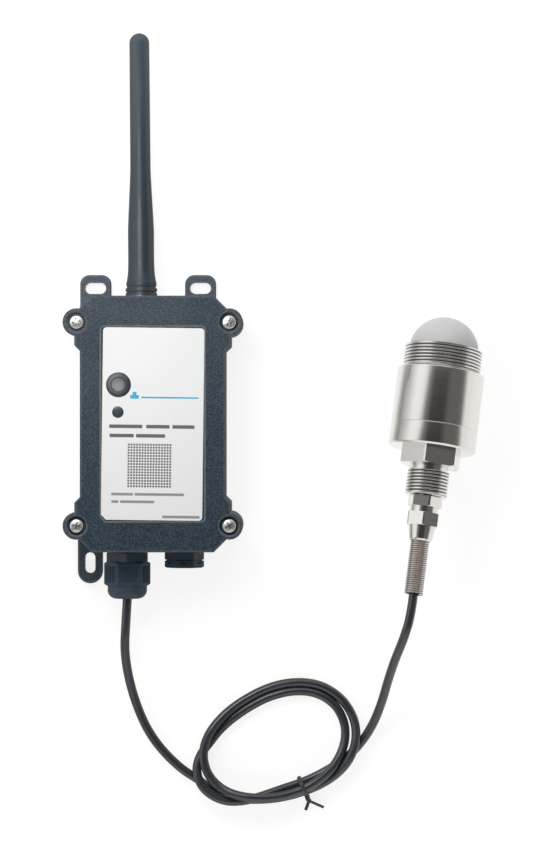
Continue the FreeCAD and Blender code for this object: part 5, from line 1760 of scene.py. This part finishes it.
@dataclass(frozen=True)
class RadarProbe:
    """The turned steel radar probe, its lens, cable gland and strain spring.

    Distances run along the probe from the shoulder behind the front thread towards the cable.
    """

    axis: Axis = Axis(
        (131.8, 23.5, 19.7), PROBE_WAY, (0.99144, -0.13053, 0.0), (0.01929, 0.14655, 0.98902)
    )
    columns: int = 128
    wrench_columns: int = 144
    lens_radius: float = 16.0
    lens_centre: float = -9.8
    lens_skirt: tuple[float, float, float] = (16.1, -11.5, -3.0)
    lens_dish: Pair = (11.0, 2.5)
    dome_steps: int = 40
    dish_steps: int = 10
    pitch: float = 1.5
    thread_depth: float = 0.5
    lead: float = 0.7
    front_thread: tuple[float, float, float] = (17.9, -11.5, -0.5)
    front_lead: float = 0.3
    relief: float = 16.9
    shell_radius: float = 20.0
    shell_edge: float = 0.25
    shell_soft: float = 0.1
    shell_bore: float = 17.4
    seam: float = 25.9
    seam_edge: float = 0.12
    lip: Pair = (13.5, 1.5)
    spigot: Pair = (17.3, 19.8)
    cavity: Pair = (14.0, 28.0)
    flange_end: float = 36.0
    flange_edge: float = 0.8
    flange_foot: float = 14.5
    wrench_flats: float = 25.0
    wrench_spin: float = 103.0
    wrench_end: float = 43.7
    wrench_edges: Pair = (0.0, 0.8)
    neck: Pair = (8.7, 45.8)
    rear_thread: tuple[float, float, float] = (9.75, 45.8, 57.7)
    rear_lead: float = 0.2
    socket: Pair = (4.2, 49.0)
    bore: float = 2.5
    small_flats: float = 14.0
    gland_stem: float = 4.1
    gland_span: Pair = (58.1, 62.8)
    gland_spin: float = 136.0
    gland_edges: Pair = (0.5, 0.5)
    gland_neck: Pair = (6.6, 65.5)
    gland_thread: Pair = (5.4, 70.4)
    seal_room: Pair = (4.4, 66.4)
    nut_span: Pair = (65.5, 71.6)
    nut_spin: float = 92.0
    nut_edges: Pair = (0.5, 0.4)
    nut_cone: tuple[Pair, ...] = ((6.3, 71.6), (5.4, 77.6), (4.9, 78.4))
    nut_soft: float = 0.2
    nut_inside: tuple[Pair, ...] = ((4.5, 78.4), (4.5, 72.0), (5.4, 70.8))
    spring_span: Pair = (73.9, 103.4)
    spring_radius: float = 3.94
    spring_pitch: float = 0.98
    spring_points: int = 28
    spring_crease: float = 80.0
    wire_radius: float = 0.46
    wire_points: int = 10

    def lens(self) -> Piece:
        """A half ball on a skirt, with a shallow round dish behind.

        Returns:
            The piece.
        """
        radius, start, end = self.lens_skirt
        edge = math.degrees(math.acos((start - self.lens_centre) / self.lens_radius))
        dome = arc((0.0, self.lens_centre), self.lens_radius, 180.0, edge, self.dome_steps)
        wide, deep = self.lens_dish
        ball = (wide**2 + deep**2) / (2 * deep)
        spread = math.degrees(math.asin(wide / ball))
        dish = arc((0.0, end - deep + ball), ball, 180.0 - spread, 180.0, self.dish_steps)
        stack = PolarStack(self.columns).turn(dome).turn([(radius, start), (radius, end)]).turn(dish)
        return make_piece("lens_dome", stack.surface(self.axis), "lens_plastic", "radar_lens")

    def shell(self) -> Piece:
        """The front housing: thread, relief and a plain barrel, bored out behind a lip.

        Returns:
            The piece.
        """
        crest, start, end = self.front_thread
        seat, wide, (lip, deep) = self.lens_skirt[0], self.shell_radius, self.lip
        span = (start + self.front_lead, end - self.front_lead)
        stack = PolarStack(self.columns).turn([(seat, start), (crest - self.lead, start)])
        stack.thread(crest, self.thread_depth, span, self.pitch)
        stack.turn([(self.relief, end), (self.relief, 0.0)])
        barrel = [(self.relief, 0.0), (wide - self.shell_edge, 0.0), (wide, self.shell_edge)]
        barrel += [(wide, self.seam - self.seam_edge), (wide - self.seam_edge, self.seam)]
        stack.turn(barrel, self.shell_soft)
        stack.turn([(self.shell_bore, self.seam), (self.shell_bore, deep), self.lip])
        stack.turn([(lip, -deep), (seat, -deep)])
        return make_piece("probe_shell", stack.surface(self.axis), "stainless_steel", "head_shell")

    def rear(self) -> Piece:
        """The rear cap: spigot, flange, wrench flats, neck and rear thread.

        Returns:
            The piece.
        """
        crest, start, end = self.rear_thread
        wide, foot = self.shell_radius, self.flange_end
        stack = PolarStack(self.wrench_columns).turn([(self.cavity[0], self.spigot[1]), self.spigot])
        flange = [(self.spigot[0], self.seam), (wide - self.seam_edge, self.seam)]
        flange += [(wide, self.seam + self.seam_edge), (wide, foot - self.flange_edge)]
        flange += [(wide - self.flange_edge, foot), (self.flange_foot, foot)]
        stack.turn(flange, self.shell_soft)
        stack.hexagon(self.wrench_flats, (foot, self.wrench_end), self.wrench_spin, self.wrench_edges)
        stack.turn([(self.neck[0], self.wrench_end), self.neck])
        span = (start + self.rear_lead, end - self.rear_lead)
        stack.thread(crest, self.thread_depth, span, self.pitch)
        stack.turn([(crest - self.lead, end), (self.socket[0], end), self.socket])
        stack.turn([(self.bore, self.socket[1]), (self.bore, self.cavity[1]), self.cavity])
        return make_piece("probe_rear", stack.surface(self.axis), "stainless_steel", "rear_cap")

    def gland(self) -> Piece:
        """The small gland: six flats, a neck and the thread under its nut.

        Returns:
            The piece.
        """
        start, end = self.gland_span
        stem, bottom = self.gland_stem, self.socket[1]
        stack = PolarStack().turn([(self.bore, bottom), (stem, bottom), (stem, start)])
        stack.hexagon(self.small_flats, self.gland_span, self.gland_spin, self.gland_edges)
        stack.turn([(self.gland_neck[0], end), self.gland_neck])
        stack.turn([(self.gland_thread[0], self.gland_neck[1]), self.gland_thread])
        stack.turn([(self.seal_room[0], self.gland_thread[1]), self.seal_room])
        stack.turn([(self.bore, self.seal_room[1])])
        return make_piece("probe_gland", stack.surface(self.axis), "stainless_steel", "probe_gland_body")

    def nut(self) -> Piece:
        """The gland's nut: six flats that run into a cone over the spring.

        Returns:
            The piece.
        """
        stack = PolarStack().turn([(self.gland_thread[0], self.nut_span[0])])
        stack.hexagon(self.small_flats, self.nut_span, self.nut_spin, self.nut_edges)
        stack.turn(self.nut_cone, self.nut_soft).turn(self.nut_inside)
        return make_piece("probe_nut", stack.surface(self.axis), "stainless_steel", "probe_gland_nut")

    def spring(self) -> Piece:
        """The strain spring: a round wire carried along a helix, its ends drawn to a point. The sides of
        the wire get painted shade, by one less the cosine of the angle round it.

        Returns:
            The piece.
        """
        start, end = self.spring_span
        turns = (end - start - 2 * self.wire_radius) / self.spring_pitch
        swing = np.linspace(0, 2 * math.pi * turns, round(turns * self.spring_points))[:, None]
        angle = np.linspace(0, 2 * math.pi, self.wire_points, endpoint=False)[None]
        radii = self.spring_radius + self.wire_radius * np.cos(angle)
        climb = start + self.wire_radius + self.spring_pitch * swing / (2 * math.pi)
        along = climb - self.wire_radius * np.sin(angle)
        rings = self.axis.place(radii * np.cos(swing), radii * np.sin(swing), along)
        # Painted shade on the wire's sides, standing in for the shade between coils.
        groove_shade = np.broadcast_to(np.clip(1 - np.cos(angle), 0, 1), along.shape)
        rings = np.concatenate([rings, groove_shade[..., None]], axis=2)
        surface = capped(rings, rings[0].mean(axis=0), rings[-1].mean(axis=0))
        return make_piece(
            "spring_coil", surface, "spring_steel", "strain_spring", crease=self.spring_crease
        )

    def build(self) -> list[Piece]:
        """Makes the probe's pieces and hands them back."""
        return [self.lens(), self.shell(), self.rear(), self.gland(), self.nut(), self.spring()]


# Whole part


def dress_nodes() -> None:
    """Gives each CAD node that still shows its finish from NODE_FINISHES, where the rear case gets a
    paler copy of the case plastic as painted light, or else that of its slot in the record.

    The nodes that show are the case's, which the probe's steel doesn't mirror in the photograph.
    """
    slots = {row["node"]: row["material_slot"] for row in frame["record"]["subparts"]}
    for name, node in frame["nodes"].items():
        finish = NODE_FINISHES.get(name, slots[name])
        node.data.materials.clear()
        node.data.materials.append(finished(finish))
        node.visible_glossy = False
        LOG.info("%s: %s", name, finish)


def main() -> None:
    """Builds the studio, the cable and each sub-assembly, and dresses the rest."""
    logging.basicConfig(level=logging.INFO, format="%(message)s")
    studio = Studio()
    studio.build()
    SensorCable().build(WireTie().build())
    for part in (Aerial(), CableGland(), VentPlug(), FrontPanel()):
        part.build()
    studio.key_light(RadarProbe().build())
    dress_nodes()


if __name__ == "__main__":
    main()
